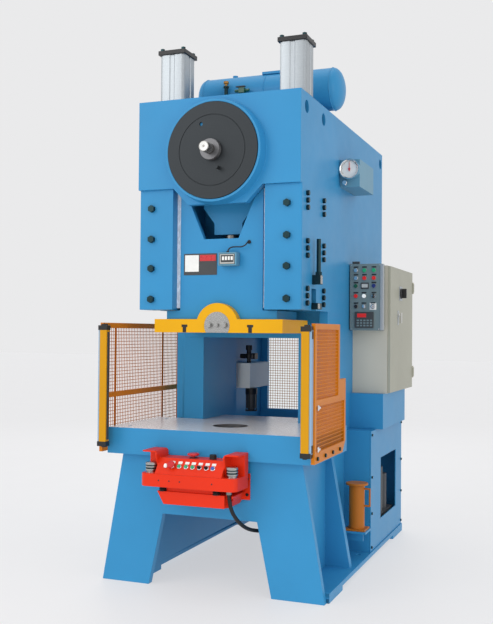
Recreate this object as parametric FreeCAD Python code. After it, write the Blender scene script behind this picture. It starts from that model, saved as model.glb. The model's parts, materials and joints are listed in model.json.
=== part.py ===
"""Mechanical stamping press: open-front C frame, single crank, two-hand console.

Working frame while modelling (mm): the ram axis is X = 0, Y = 0, the floor is Z = 0,
X points to the operator's right, Y away from the operator and Z up.  save() moves every
piece so that the origin is the bottom centre of the whole machine's box.
"""
import FreeCAD, Part
import math
import os

V = FreeCAD.Vector
X_AXIS, Y_AXIS, Z_AXIS = V(1, 0, 0), V(0, 1, 0), V(0, 0, 1)

# ---- overall sizes -------------------------------------------------------
FRAME_HALF = 479.0          # half width over the two side plates
PLATE = 50.0                # side plate thickness
HEAD_FRONT = -228.0         # front face of the head
FRAME_REAR = 1688.0         # rear face of the head
FRAME_TOP = 2666.0          # top of the head
HEAD_PLATE_BOTTOM = 2170.0  # lower edge of the head's front plate
HEAD_BOTTOM = 1500.0        # lower edge of the slide guides
THROAT_FRONT = 296.0        # front face of the two columns behind the dies
THROAT_ROOF = 1345.0        # underside of the head behind the columns
BASE_REAR = 1587.0          # rear end of the base
TOP_PLATE = 30.0            # thickness of the head's top plate
HEAD_PLATE = 50.0           # thickness of the head's front plate
BEARING_PLATE = 50.0        # thickness of the inner bearing plate
REAR_PLATE = 40.0           # thickness of the rear wall
HEAD_FLOOR = 30.0           # thickness of the floor under the motor
LIFT_HOLE_R = 35.0
LIFT_HOLE_DROP = 76.0       # from the head's top down to the lifting holes
LIFT_HOLE_Y = (-128.0, 189.0, 1626.0)
STEP_LOW, STEP_HIGH = 30.0, 60.0    # rear wall's slope, below and above the table's underside

# ---- table and base ------------------------------------------------------
TABLE_TOP = 850.0
TABLE_T = 143.0
TABLE_OVERHANG = 116.0      # how far the table stands out past each side plate
TABLE_HALF = FRAME_HALF + TABLE_OVERHANG
TABLE_FRONT = -338.0
TABLE_REAR = 650.0
TABLE_RELIEF = 4.0          # how far the table lies lower behind its machined face
TABLE_HOLE_R = 100.0
CLAMP_HOLE_R = 12.0
CLAMP_HOLE_DEPTH = 40.0
CLAMP_HOLE_EDGE = 90.0
LEG_FRONT = -295.0
LEG_T = 40.0
LEG_TOP_HALF = FRAME_HALF + 41.0
LEG_FOOT_HALF = FRAME_HALF + 163.0
ARCH_TOP_HALF = 273.0
ARCH_FOOT_HALF = 355.0
ARCH_TOP = 389.0
FOOT_HALF = LEG_FOOT_HALF + 13.0
FOOT_T = 50.0
FOOT_RELIEF = 25.0
FOOT_PAD = 300.0
ANCHOR_R = 17.0
ANCHOR_X = FOOT_HALF - 65.0
ANCHOR_Y = (-175.0, 600.0)
RIB_Y = 268.0
RIB_T = 47.0
RIB_FOOT_X = FRAME_HALF + 146.0
RIB_TOP_X = FRAME_HALF + 26.0

# ---- throat columns ------------------------------------------------------
COLUMN_INNER = FRAME_HALF - PLATE - 127.0
COLUMN_T = 40.0
COLUMN_DEPTH = 538.0

# ---- drive ---------------------------------------------------------------
STROKE = 160.0
CRANK_Z = 2355.0
JOURNAL_R = 90.0
BUSH_T = 15.0
RUN_GAP = 0.06              # radial running clearance in the bearings
PIN_R = 110.0
PIN_HALF = 60.0             # half length of the crank pin
WEB_T = 40.0
WEB_R = 195.0
ROD_EYE_R = 160.0
ROD_NECK_HALF = 85.0
ROD_SHOULDER_Z = 2075.0
ROD_NECK_Z = 1988.0
ROD_END_Z = 1925.0
ROD_HALF_Y = 58.0
SCREW_R = 42.0
BALL_R = 60.0
BALL_Z = 1720.0
SEAT_GAP = 18.0             # room under the ball
BOSS_R = 287.0
BOSS_FRONT = -296.0
DISC_R = 262.0
DISC_FRONT = -301.0
DISC_T = 11.0
DISC_BORE_R = 55.0
DISC_GROOVE_R = 192.0
DISC_GROOVE_W, DISC_GROOVE_DEPTH = 4.0, 3.0
SHAFT_COLLAR = 29.0         # how far the shaft's collar stands out of the disc
SHAFT_END_R = 28.0
SHAFT_END = -408.0
SPOKE_HOLES, SPOKE_HOLE_R, SPOKE_RING_R = 6, 38.0, 175.0
GEAR_MODULE = 12.0
GEAR_TEETH = 45
PINION_TEETH = 15
GEAR_FRONT = 420.0
GEAR_WIDTH = 130.0
PINION_R_SHAFT = 45.0
FLYWHEEL_R = 390.0
FLYWHEEL_FRONT = 1410.0
FLYWHEEL_WIDTH = 150.0
CLUTCH_R = 200.0
CLUTCH_WIDTH = 110.0
MOTOR_R = 115.0
MOTOR_Z = 1510.0
MOTOR_FRONT = 960.0
MOTOR_LENGTH = 380.0
PULLEY_R = 70.0
BELT_COUNT, BELT_PITCH, BELT_START = 5, 22.0, 25.0
BELT_W = 12.0
GROOVE_DEPTH = 8.0
BELT_T = 9.0
BELT_GAP = 0.4

# ---- slide ---------------------------------------------------------------
SLIDE_HALF = 246.0
ROD_CLEAR, SLIDE_SIDE_WALL = 2.0, 14.0
POCKET_FLOOR = 1960.0       # floor of the slide's pocket, with the crank at mid-height
ROD_SHOULDER_HALF = SLIDE_HALF - SLIDE_SIDE_WALL - ROD_CLEAR - STROKE / 2
SLIDE_FRONT = -160.0
SLIDE_REAR = 180.0
SLIDE_TOP = 2200.0
SLIDE_WALL = 35.0
FOOT_PLATE_HALF = SLIDE_HALF + 82.0     # wider foot of the slide, under the guides
TAB_HALF = SLIDE_HALF + 16.0            # lower tab of the head's front plate
TAB_NARROW, TAB_DROP = 172.0, 95.0
EAR_HALF, EAR_T = 40.0, 35.0
FOOT_PLATE_TOP = 1497.0
FLANGE_HALF = 378.0
FLANGE_FRONT = -211.0
FLANGE_REAR = 230.0
FLANGE_BOTTOM = 1374.0
FLANGE_TOP = 1448.0
HUMP_R = 123.0
HUMP_Z = 1413.0
CLAMP_R = 75.0
SHANK_R = 30.0
T_SLOT_X = 194.0
T_NECK = 22.0
T_HEAD = 36.0
T_HEAD_T = 14.0
T_DEPTH = 44.0
GUIDE_GAP = 0.3
GIB_T = 25.0
NOTCH_HALF = 102.0
NOTCH_Z = 1892.0
NOTCH_TOP_HALF = 232.0
BAR_SLOT_Y = (-25.0, 61.0)
BAR_SLOT_TOP = 1619.0
BAR_Z = 1506.0
BAR_T = 34.0
BAR_TRAVEL = 60.0
BAR_REACH = 35.0            # how far the knock-out bar stands out of each side plate
GUIDE_FRONT = -208.0        # front face of the guide housings
GUIDE_CAP = 60.0
GUIDE_BLOCK_TOP = 1980.0
GUIDE_ROUND = 12.0
GUIDE_BOLT_X = FRAME_HALF - 79.0
GUIDE_BOLT_Z = (2065.0, 1894.0, 1730.0, 1558.0)
GIB_BOLT_Y = (-120.0, 187.0)
GIB_BOLT_Z = (2088.0, 1831.0, 1576.0)
GIB_BOLT_STEP = 39.0
INDICATOR = ((5.0, 113.0), (SLIDE_FRONT - 55.0, SLIDE_FRONT), (1738.0, 1811.0))
LEAD_R = 3.5
LEAD = [
    V(52, SLIDE_FRONT - 28, 1811), V(52, SLIDE_FRONT - 28, 1828), V(72, SLIDE_FRONT - 27, 1841),
    V(104, SLIDE_FRONT - 26, 1842), V(134, SLIDE_FRONT - 27, 1840), V(156, SLIDE_FRONT - 28, 1850),
    V(167, SLIDE_FRONT - 23, 1869), V(167, SLIDE_FRONT - 8, 1869),
]
LEAD_GLAND_R, LEAD_GLAND_T = 10.0, 8.0
STOP_Y, STOP_Z = (-17.0, 25.0), (1642.0, 1693.0)
STOP_REACH = 48.0
STOP_SCREW_X, STOP_SCREW_Y = FRAME_HALF + 30.0, 8.0
STOP_SCREW_R, STOP_SCREW_LENGTH = 12.0, 198.0

# ---- balance cylinders, air tank and gauge ------------------------------
BALANCE_X = FRAME_HALF - 112.0
BALANCE_Y = 33.0
BALANCE_SIDE = 172.0
BALANCE_TOP = FRAME_TOP + 344.0
BALANCE_CAP = 26.0
BALANCE_BASE = 24.0
BALANCE_ROUND = 22.0
PISTON_T = 40.0
PISTON_DROP = 94.0          # room above the piston
BALANCE_BORE_R = 72.0
BALANCE_ROD_R = 18.0
TANK_R = 125.0
TANK_Y = 450.0
TANK_Z = FRAME_TOP + 166.0
TANK_LEFT, TANK_RIGHT = -400.0, 530.0
TANK_DOME = 60.0
SADDLE_X = (-260.0, 380.0)
SADDLE_T, SADDLE_HALF = 40.0, 90.0
TANK_PORT_X, TANK_PORT_R, TANK_PORT_H = -170.0, 16.0, 14.0
GAUGE_BOX = ((FRAME_HALF, FRAME_HALF + 121.0), (549.0, 903.0), (2258.0, 2425.0))
GAUGE_R = 62.0
GAUGE_CLEAR = 1.0           # between the gauge and the side plate
GAUGE_DEPTH = 38.0
GAUGE_WALL, DIAL_DEPTH = 5.0, 16.0
NEEDLE_R, NEEDLE_T = 3.0, 3.0
REGULATOR_R, REGULATOR_REACH = 15.0, 42.0
REGULATOR_DX, REGULATOR_RISE = -26.0, 22.0

# ---- electrics on the right side ----------------------------------------
CABINET = ((FRAME_HALF, FRAME_HALF + 223.0), (870.0, 1600.0), (1000.0, 1805.0))
CABINET_LIP = 25.0
DOOR_T = 18.0
DOOR_MARGIN = 4.0
DOOR_FOLD = 26.0
HINGE_X = CABINET[0][1] + DOOR_T + 4.0
HINGE_Y = CABINET[1][1]
HINGE_R, HINGE_PIN_R = 8.0, 4.0
HINGE_LENGTH, HINGE_EDGE = 60.0, 110.0
HINGE_EAR, HINGE_EAR_GAP = 8.0, 2.0
SKIN = 3.0                  # sheet metal thickness
DOOR_GAP = 0.5
SWITCH_REACH = 40.0         # how far the isolator handle stands out of the door
SWITCH_Y, SWITCH_Z = 1185.0, 1640.0
SWITCH_R, SWITCH_DISC_T = 34.0, 14.0
SWITCH_GRIP_HALF, SWITCH_GRIP_T = 28.0, 16.0
LOCK_Y, LOCK_Z = 1110.0, 1500.0
LOCK_R, LOCK_HUB_T, LOCK_REACH = 14.0, 10.0, 24.0
BOX_SKIN = 6.0              # plate of the two boxes below the cabinet
BRACKET_BOX = ((FRAME_HALF, FRAME_HALF + 211.0), (810.0, 1490.0), (781.0, CABINET[2][0]))
PANEL_LEFT = FRAME_HALF + 6.0
PANEL_BOX = ((PANEL_LEFT, PANEL_LEFT + 197.0), (770.0, CABINET[1][0]), (1395.0, 1810.0))
LAMP_R, LAMP_DEPTH = 13.0, 16.0
LAMPS = [(39, 1769), (93, 1769), (153, 1769), (39, 1721), (93, 1721), (153, 1721),
         (39, 1672), (153, 1672), (39, 1609), (91, 1609), (40, 1544)]
DISPLAY_PLATE = ((73.0, 119.0), (1655.0, 1690.0), 8.0)
MODULE_PLATE = ((34.0, 152.0), (1410.0, 1510.0), 14.0)
SELECTOR_AT, KEY_AT = (154.0, 1609.0), (148.0, 1544.0)
KNOB_R = 15.0
REAR_BOX = ((FRAME_HALF, FRAME_HALF + 161.0), (675.0, BASE_REAR), (FOOT_T, 781.0))
REAR_BOX_LIP = 30.0
WINDOW_Y, WINDOW_Z = (941.0, 1400.0), (205.0, 588.0)
COVER_T = 8.0
PUMP_Y, PUMP_HALF, PUMP_TANK_H = (1000.0, 1420.0), 60.0, 150.0
PUMP_MOTOR = (1120.0, 58.0, 300.0)
PUMP_VESSEL = (1300.0, 45.0, 230.0)
PUMP_PIPE = (1215.0, 9.0, 340.0)

# ---- guards and light curtains ------------------------------------------
GUARD_T = 20.0
GUARD_FRONT = -395.0
GUARD_BAR = 30.0
GUARD_BOTTOM, GUARD_TOP = TABLE_TOP - 130.0, 1425.0
GUARD_MID = GUARD_BOTTOM + 290.0
GUARD_STEP = GUARD_MID + 115.0
GUARD_FOOT = 60.0           # height of the closed strip below the lower window
RIGHT_REAR_LOW, RIGHT_REAR_HIGH = 195.0, 70.0
LEFT_REAR = 600.0
MESH_T = 3.0
POST_X, POST_W, POST_D = TABLE_HALF - 17.0, 58.0, 42.0
POST_BOTTOM, POST_TOP = GUARD_BOTTOM + 28.0, GUARD_TOP - 7.0
GUARD_BOLT_START, GUARD_BOLT_PITCH = -350.0, 140.0

# ---- console -------------------------------------------------------------
CONSOLE_X = -31.0           # middle of the console
CONSOLE_HALF = 271.0
CONSOLE_FRONT = -515.0
CONSOLE_TRAY = TABLE_TOP - 210.0        # top of the two palm-button shelves
CONSOLE_BOTTOM = CONSOLE_TRAY - 66.0
CONSOLE_DECK = CONSOLE_TRAY + 77.0      # top of the middle box
CONSOLE_GAP = 3.0           # between the console and the table
CONSOLE_ROUND = 40.0
DECK_LOW, DECK_HIGH = CONSOLE_FRONT + 10.0, CONSOLE_FRONT + 75.0
HOOD_TOP = CONSOLE_DECK + 38.0
HOOD_INNER = 188.0
HOOD_T = 8.0
HOOD_ROUND = 18.0           # rounded corner between a hood's top and its inner wall
PALM_X, PALM_Y = 229.0, -458.0
PALM_R, PALM_STEM_R = 31.0, 26.0
PALM_HEAD, PALM_LIFT, PALM_DEPTH = 44.0, 10.0, 26.0
STOP_AT = (-45.0, -400.0)
STOP_R, STOP_STEM_R, STOP_HEAD = 32.0, 9.0, 16.0
KNOB_AT = (67.0, -400.0)
KNOB_TOP_R, KNOB_TOP_H = 19.0, 25.0
KEYS_X = (-169.0, -92.0, -53.0, -16.0, 23.0, 62.0, 98.0)
KEY_R, KEY_H = 12.0, 14.0
MUSHROOM_X, MUSHROOM_R, MUSHROOM_H = -134.0, 19.0, 22.0
STAND_TOP = CONSOLE_BOTTOM - 26.0
STAND_BOTTOM = STAND_TOP - 66.0
NECK_X, NECK_SETBACK, NECK_GAP = (-166.0, 100.0), 14.0, 3.0
STAND_WIDE, STAND_NARROW, STAND_SETBACK = 215.0, 178.0, 35.0
STAND_FLANGE_HALF, STAND_FLANGE_T = 270.0, 10.0
MOUNT_X, MOUNT_R = (-185.0, 119.0), 16.0
GLAND_WALL = 5.0
HOSE_R = 10.0
HOSE = [
    V(186, -470, 554), V(190, -464, 488), V(206, -428, 428), V(224, -380, 384),
    V(238, -326, 356), V(250, -268, 338), V(300, -206, 326), V(358, -172, 326),
    V(417, -166, 330),
]

# ---- small fixed pieces --------------------------------------------------
AIR_BOX = (-250.0, (950.0, 1325.0), (1000.0, 1170.0))
AIR_VALVE_AT, AIR_VALVE_R, AIR_VALVE_H = (-270.0, 980.0), 22.0, 120.0
AIR_BOWL_AT, AIR_BOWL_R, AIR_BOWL_DROP = (-255.0, 990.0), 40.0, 155.0
SHELF_Y, SHELF_TOP, SHELF_T, SHELF_REACH = (450.0, 590.0), 216.0, 12.0, 191.0
BLOCK_X, BLOCK_Y, BLOCK_H = FRAME_HALF + 121.0, 520.0, 276.0
BLOCK_R, BLOCK_HEAD_R, BLOCK_FOOT_HALF = 46.0, 66.0, 62.0

BOX_X = (-FOOT_HALF, CABINET[0][1] + DOOR_T + SWITCH_REACH)
BOX_Y = (CONSOLE_FRONT, FRAME_REAR)
ORIGIN = V(-sum(BOX_X) / 2, -sum(BOX_Y) / 2, 0)

NODES = {}


# ---- shape helpers -------------------------------------------------------
def block(xs, ys, zs):
    """Box between pairs of limits."""
    low = V(min(xs), min(ys), min(zs))
    return Part.makeBox(abs(xs[1] - xs[0]), abs(ys[1] - ys[0]), abs(zs[1] - zs[0]), low)


def rod(radius, start, length, axis):
    """Round bar from a start point along an axis."""
    return Part.makeCylinder(radius, length, start, axis)


def tube(outer, inner, start, length, axis):
    return rod(outer, start, length, axis).cut(rod(inner, start, length, axis))


def outline(points):
    return Part.Face(Part.makePolygon(points + points[:1]))


def side_prism(points, x0, x1):
    """Prism of a (Y, Z) outline between two X planes."""
    return outline([V(x0, y, z) for y, z in points]).extrude(V(x1 - x0, 0, 0))


def front_prism(points, y0, y1):
    """Prism of an (X, Z) outline between two Y planes."""
    return outline([V(x, y0, z) for x, z in points]).extrude(V(0, y1 - y0, 0))


def join(*shapes):
    shape = shapes[0].multiFuse(list(shapes[1:])) if len(shapes) > 1 else shapes[0]
    return shape.removeSplitter()


def group(shapes):
    return Part.makeCompound(shapes)


def mirrored(shape):
    """The same piece on the other side of the ram axis."""
    return shape.mirror(V(0, 0, 0), X_AXIS)


def both(shape):
    return group([shape, mirrored(shape)])


def hex_bolt(across, height, start, axis):
    """Hexagon head with its centre at start, standing out along axis."""
    side = V(0, 0, 1) if abs(axis.z) < 0.5 else V(1, 0, 0)
    other = axis.cross(side)
    radius = across / math.sqrt(3)
    corners = [start + side * (radius * math.cos(math.radians(60 * i)))
               + other * (radius * math.sin(math.radians(60 * i))) for i in range(6)]
    return outline(corners).extrude(axis * height)


def shell(xs, ys, zs, skin, openings=()):
    """Sheet-metal box with a hollow inside, less the given cutters."""
    inner = block((xs[0] + skin, xs[1] - skin), (ys[0] + skin, ys[1] - skin),
                  (zs[0] + skin, zs[1] - skin))
    body = block(xs, ys, zs).cut(inner)
    for cutter in openings:
        body = body.cut(cutter)
    return body


def save(name, shape):
    """Keep a finished piece in the machine's own frame."""
    moved = shape.copy()
    moved.translate(ORIGIN)
    NODES[name] = moved


# ---- welded frame --------------------------------------------------------
def side_plate():
    """Right-hand C plate with its lifting holes and knock-out slot."""
    x0, x1 = FRAME_HALF - PLATE, FRAME_HALF
    cap_back = GUIDE_FRONT + GUIDE_CAP
    profile = [
        (HEAD_FRONT + HEAD_PLATE, FRAME_TOP - TOP_PLATE),
        (HEAD_FRONT + HEAD_PLATE, HEAD_PLATE_BOTTOM),
        (cap_back, HEAD_PLATE_BOTTOM),
        (cap_back, HEAD_BOTTOM),
        (THROAT_FRONT, HEAD_BOTTOM),
        (THROAT_FRONT, TABLE_TOP - TABLE_T),
        (LEG_FRONT + LEG_T, TABLE_TOP - TABLE_T),
        (LEG_FRONT + LEG_T, FOOT_T),
        (BASE_REAR, FOOT_T),
        (BASE_REAR, TABLE_TOP - TABLE_T - STEP_LOW),
        (FRAME_REAR, TABLE_TOP - TABLE_T + STEP_HIGH),
        (FRAME_REAR, FRAME_TOP - TOP_PLATE),
    ]
    plate = side_prism(profile, x0, x1)
    for y in LIFT_HOLE_Y:
        plate = plate.cut(rod(LIFT_HOLE_R, V(x0, y, FRAME_TOP - LIFT_HOLE_DROP), PLATE, X_AXIS))
    return plate.cut(block((x0, x1), BAR_SLOT_Y, (HEAD_BOTTOM, BAR_SLOT_TOP)))


def head_front_plate():
    """Front plate of the head: lower tab, bearing boss and disc recess."""
    tab = [
        (-FRAME_HALF, FRAME_TOP - TOP_PLATE), (-FRAME_HALF, HEAD_PLATE_BOTTOM),
        (-TAB_HALF, HEAD_PLATE_BOTTOM), (-TAB_NARROW, HEAD_PLATE_BOTTOM - TAB_DROP),
        (TAB_NARROW, HEAD_PLATE_BOTTOM - TAB_DROP), (TAB_HALF, HEAD_PLATE_BOTTOM),
        (FRAME_HALF, HEAD_PLATE_BOTTOM), (FRAME_HALF, FRAME_TOP - TOP_PLATE),
    ]
    back = HEAD_FRONT + HEAD_PLATE
    plate = front_prism(tab, HEAD_FRONT, back)
    boss = Part.makeCone(BOSS_R - 10, BOSS_R, HEAD_FRONT - BOSS_FRONT,
                         V(0, BOSS_FRONT, CRANK_Z), Y_AXIS)
    plate = join(plate, boss)
    recess = rod(DISC_R + 2, V(0, BOSS_FRONT, CRANK_Z), DISC_FRONT + DISC_T - BOSS_FRONT + 1,
                 Y_AXIS)
    bore = rod(JOURNAL_R + BUSH_T, V(0, BOSS_FRONT, CRANK_Z), back - BOSS_FRONT, Y_AXIS)
    return plate.cut(recess).cut(bore)


def pinion_z():
    """Height of the flywheel shaft, set by the gear pair."""
    return CRANK_Z - GEAR_MODULE * (GEAR_TEETH + PINION_TEETH) / 2


def inner_half():
    return FRAME_HALF - PLATE


def inner_frame():
    """Rear bearing wall and the floor behind it, which carries the motor."""
    half = inner_half()
    y0, y1 = THROAT_FRONT, THROAT_FRONT + BEARING_PLATE
    wall = block((-half, half), (y0, y1), (THROAT_ROOF, FRAME_TOP - TOP_PLATE))
    wall = wall.cut(rod(JOURNAL_R + BUSH_T, V(0, y0, CRANK_Z), BEARING_PLATE, Y_AXIS))
    wall = wall.cut(rod(PINION_R_SHAFT + BUSH_T, V(0, y0, pinion_z()), BEARING_PLATE, Y_AXIS))
    floor = block((-half, half), (y1, FRAME_REAR - REAR_PLATE),
                  (THROAT_ROOF, THROAT_ROOF + HEAD_FLOOR))
    return join(wall, floor)


def top_plate():
    plate = block((-FRAME_HALF, FRAME_HALF), (HEAD_FRONT, FRAME_REAR),
                  (FRAME_TOP - TOP_PLATE, FRAME_TOP))
    for x in (-BALANCE_X, BALANCE_X):
        hole = rod(BALANCE_ROD_R + 8, V(x, BALANCE_Y, FRAME_TOP - TOP_PLATE), TOP_PLATE, Z_AXIS)
        plate = plate.cut(hole)
    return plate


def rear_plate():
    """Rear wall: head part, throat window and the stepped lower wall."""
    half = inner_half()
    step = TABLE_TOP - TABLE_T
    profile = [
        (FRAME_REAR - REAR_PLATE, FRAME_TOP - TOP_PLATE),
        (FRAME_REAR - REAR_PLATE, step + STEP_HIGH + 20),
        (BASE_REAR - REAR_PLATE, step - STEP_LOW), (BASE_REAR - REAR_PLATE, FOOT_T),
        (BASE_REAR, FOOT_T), (BASE_REAR, step - STEP_LOW),
        (FRAME_REAR, step + STEP_HIGH), (FRAME_REAR, FRAME_TOP - TOP_PLATE),
    ]
    wall = side_prism(profile, -half, half)
    window = block((-half + 50, half - 50), (BASE_REAR, FRAME_REAR + 1),
                   (step + 100, THROAT_ROOF - 10))
    wall = wall.cut(window)
    bore = rod(PINION_R_SHAFT + BUSH_T, V(0, FRAME_REAR - REAR_PLATE, pinion_z()), REAR_PLATE,
               Y_AXIS)
    return wall.cut(bore)


def throat_column():
    """Right-hand column: front plate and inner plate welded to an L."""
    foot = TABLE_TOP - TABLE_RELIEF
    front = block((COLUMN_INNER, inner_half()), (THROAT_FRONT, THROAT_FRONT + COLUMN_T),
                  (foot, THROAT_ROOF))
    inner = block((COLUMN_INNER, COLUMN_INNER + COLUMN_T),
                  (THROAT_FRONT, THROAT_FRONT + COLUMN_DEPTH), (foot, THROAT_ROOF))
    return join(front, inner)


def table():
    """Thick machined table with a round drop hole and tapped corner holes.

    Behind the machined face it lies a little lower, and carries the two columns.
    """
    slab = block((-TABLE_HALF, TABLE_HALF), (TABLE_FRONT, THROAT_FRONT),
                 (TABLE_TOP - TABLE_T, TABLE_TOP))
    rear = block((-inner_half(), inner_half()), (THROAT_FRONT, TABLE_REAR),
                 (TABLE_TOP - TABLE_T, TABLE_TOP - TABLE_RELIEF))
    slab = join(slab, rear)
    slab = slab.cut(rod(TABLE_HOLE_R, V(0, 0, TABLE_TOP - TABLE_T), TABLE_T, Z_AXIS))
    for x in (-1, 1):
        for y in (TABLE_FRONT + CLAMP_HOLE_EDGE, THROAT_FRONT - CLAMP_HOLE_EDGE):
            bottom = V(x * (TABLE_HALF - CLAMP_HOLE_EDGE), y, TABLE_TOP - CLAMP_HOLE_DEPTH)
            slab = slab.cut(rod(CLAMP_HOLE_R, bottom, CLAMP_HOLE_DEPTH, Z_AXIS))
    return slab


def front_leg_plate():
    """Front plate of the base, flared at the foot, with the arch between the legs."""
    top = TABLE_TOP - TABLE_T
    outer = [(-LEG_TOP_HALF, top), (-LEG_FOOT_HALF, 0), (LEG_FOOT_HALF, 0), (LEG_TOP_HALF, top)]
    arch = [(-ARCH_TOP_HALF, ARCH_TOP), (-ARCH_FOOT_HALF, 0),
            (ARCH_FOOT_HALF, 0), (ARCH_TOP_HALF, ARCH_TOP)]
    plate = front_prism(outer, LEG_FRONT, LEG_FRONT + LEG_T)
    return plate.cut(front_prism(arch, LEG_FRONT, LEG_FRONT + LEG_T))


def foot_rail():
    """Right-hand foot: flange under the side plate with a pad at each end."""
    y0, y1 = LEG_FRONT + LEG_T, BASE_REAR
    rail = block((inner_half(), FOOT_HALF), (y0, y1), (0, FOOT_T))
    relief = block((inner_half(), FOOT_HALF), (LEG_FRONT + FOOT_PAD, y1 - FOOT_PAD),
                   (0, FOOT_RELIEF))
    rail = rail.cut(relief)
    for y in ANCHOR_Y:
        rail = rail.cut(rod(ANCHOR_R, V(ANCHOR_X, y, 0), FOOT_T, Z_AXIS))
    return rail


def side_rib():
    """Right-hand tapered rib between the side plate and the foot."""
    top = TABLE_TOP - TABLE_T
    shape = [(FRAME_HALF, top), (FRAME_HALF, FOOT_T), (RIB_FOOT_X, FOOT_T), (RIB_TOP_X, top)]
    return front_prism(shape, RIB_Y, RIB_Y + RIB_T)


def build_frame():
    right = side_plate()
    save("side_plate_right", right)
    save("side_plate_left", mirrored(right))
    save("head_front_plate", head_front_plate())
    save("inner_frame", inner_frame())
    save("top_and_rear_plate", join(top_plate(), rear_plate()))
    save("throat_columns", both(throat_column()))
    save("table", table())
    save("front_leg_plate", front_leg_plate())
    right_foot = join(foot_rail(), side_rib())
    save("side_feet", group([right_foot, mirrored(right_foot), block_shelf()]))


# ---- slide guides --------------------------------------------------------
def guide_housing():
    """Right-hand housing: front cap, and the block that backs the gib."""
    inner = SLIDE_HALF + GUIDE_GAP + GIB_T
    back = GUIDE_FRONT + GUIDE_CAP
    cap = block((inner, FRAME_HALF), (GUIDE_FRONT, back), (HEAD_BOTTOM, HEAD_PLATE_BOTTOM))
    cap = cap.makeFillet(GUIDE_ROUND, [e for e in cap.Edges if is_outer_front_edge(e)])
    core = block((inner, inner_half()), (back, SLIDE_REAR + 50), (HEAD_BOTTOM, GUIDE_BLOCK_TOP))
    housing = join(cap, core)
    return housing.cut(block((inner, FRAME_HALF), BAR_SLOT_Y, (HEAD_BOTTOM, BAR_SLOT_TOP)))


def is_outer_front_edge(edge):
    """The cap's upright front edge on the outside of the machine."""
    box = edge.BoundBox
    return box.XMin > FRAME_HALF - 1 and box.YMax < GUIDE_FRONT + 1 and box.ZLength > 100


def gib():
    """Right-hand flat gib; its rear part is lower to clear the slide's ears."""
    x0 = SLIDE_HALF + GUIDE_GAP
    front = block((x0, x0 + GIB_T), (SLIDE_FRONT + 10, SLIDE_FRONT + 60),
                  (HEAD_BOTTOM + 10, HEAD_PLATE_BOTTOM - 10))
    rear = block((x0, x0 + GIB_T), (SLIDE_FRONT + 60, SLIDE_REAR),
                 (HEAD_BOTTOM + 10, GUIDE_BLOCK_TOP))
    strip = join(front, rear)
    return strip.cut(block((x0, x0 + GIB_T), BAR_SLOT_Y, (HEAD_BOTTOM, BAR_SLOT_TOP)))


# ---- crank drive ---------------------------------------------------------
def crankshaft():
    """Single-throw shaft with its pin at the top, for the slide's highest place."""
    pin_z = CRANK_Z + STROKE / 2
    web_outer = PIN_HALF + WEB_T
    gear_rear = GEAR_FRONT + GEAR_WIDTH
    pieces = [
        rod(PIN_R, V(0, -PIN_HALF, pin_z), 2 * PIN_HALF, Y_AXIS),
        rod(JOURNAL_R, V(0, DISC_FRONT + DISC_T, CRANK_Z),
            -web_outer - DISC_FRONT - DISC_T, Y_AXIS),
        rod(JOURNAL_R, V(0, web_outer, CRANK_Z), gear_rear + 30 - web_outer, Y_AXIS),
        rod(DISC_BORE_R, V(0, DISC_FRONT - SHAFT_COLLAR, CRANK_Z), SHAFT_COLLAR + DISC_T, Y_AXIS),
        rod(SHAFT_END_R, V(0, SHAFT_END, CRANK_Z), DISC_FRONT - SHAFT_END, Y_AXIS),
    ]
    for y in (-web_outer, PIN_HALF):
        pieces.append(rod(WEB_R, V(0, y, CRANK_Z + STROKE / 4), WEB_T, Y_AXIS))
    return join(*pieces)


def crank_disc():
    """Flat disc on the shaft's front end, with a turned groove, a drive pin and a hole."""
    disc = rod(DISC_R, V(0, DISC_FRONT, CRANK_Z), DISC_T, Y_AXIS)
    disc = disc.cut(rod(DISC_BORE_R, V(0, DISC_FRONT, CRANK_Z), DISC_T, Y_AXIS))
    groove = tube(DISC_GROOVE_R + DISC_GROOVE_W / 2, DISC_GROOVE_R - DISC_GROOVE_W / 2,
                  V(0, DISC_FRONT, CRANK_Z), DISC_GROOVE_DEPTH, Y_AXIS)
    disc = disc.cut(groove)
    disc = disc.cut(rod(10, V(-64, DISC_FRONT, CRANK_Z + 144), DISC_T, Y_AXIS))
    stud = rod(9, V(44, DISC_FRONT - 40, CRANK_Z - 100), 40, Y_AXIS)
    return join(disc, stud)


def gear_outline(teeth):
    """Closed outline of an involute spur gear with a little backlash, as radius and angle."""
    pitch_r = GEAR_MODULE * teeth / 2
    base_r = pitch_r * math.cos(math.radians(20))
    tip_r = pitch_r + 0.85 * GEAR_MODULE
    root_r = pitch_r - 1.15 * GEAR_MODULE
    half_tooth = math.pi / 2 / teeth - 0.02 * GEAR_MODULE / pitch_r
    flare = math.tan(math.radians(20)) - math.radians(20)
    low_r = max(base_r, root_r)
    flank = []
    for step in range(5):
        radius = low_r + (tip_r - low_r) * step / 4
        angle = math.acos(min(1.0, base_r / radius))
        flank.append((radius, half_tooth + flare - (math.tan(angle) - angle)))
    points = []
    for tooth in range(teeth):
        middle = 2 * math.pi * tooth / teeth
        edge = [(root_r, half_tooth + flare)] + flank
        for radius, half in edge:
            points.append((radius, middle - half))
        for radius, half in reversed(edge):
            points.append((radius, middle + half))
    return points


def gear(teeth, width, front, centre_z, turn, bore):
    """Spur gear about a Y axis; turn sets the angle of its first tooth."""
    corners = [V(r * math.cos(a + turn), front, centre_z + r * math.sin(a + turn))
               for r, a in gear_outline(teeth)]
    wheel = outline(corners).extrude(V(0, width, 0))
    return wheel.cut(rod(bore, V(0, front, centre_z), width, Y_AXIS))


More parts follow.
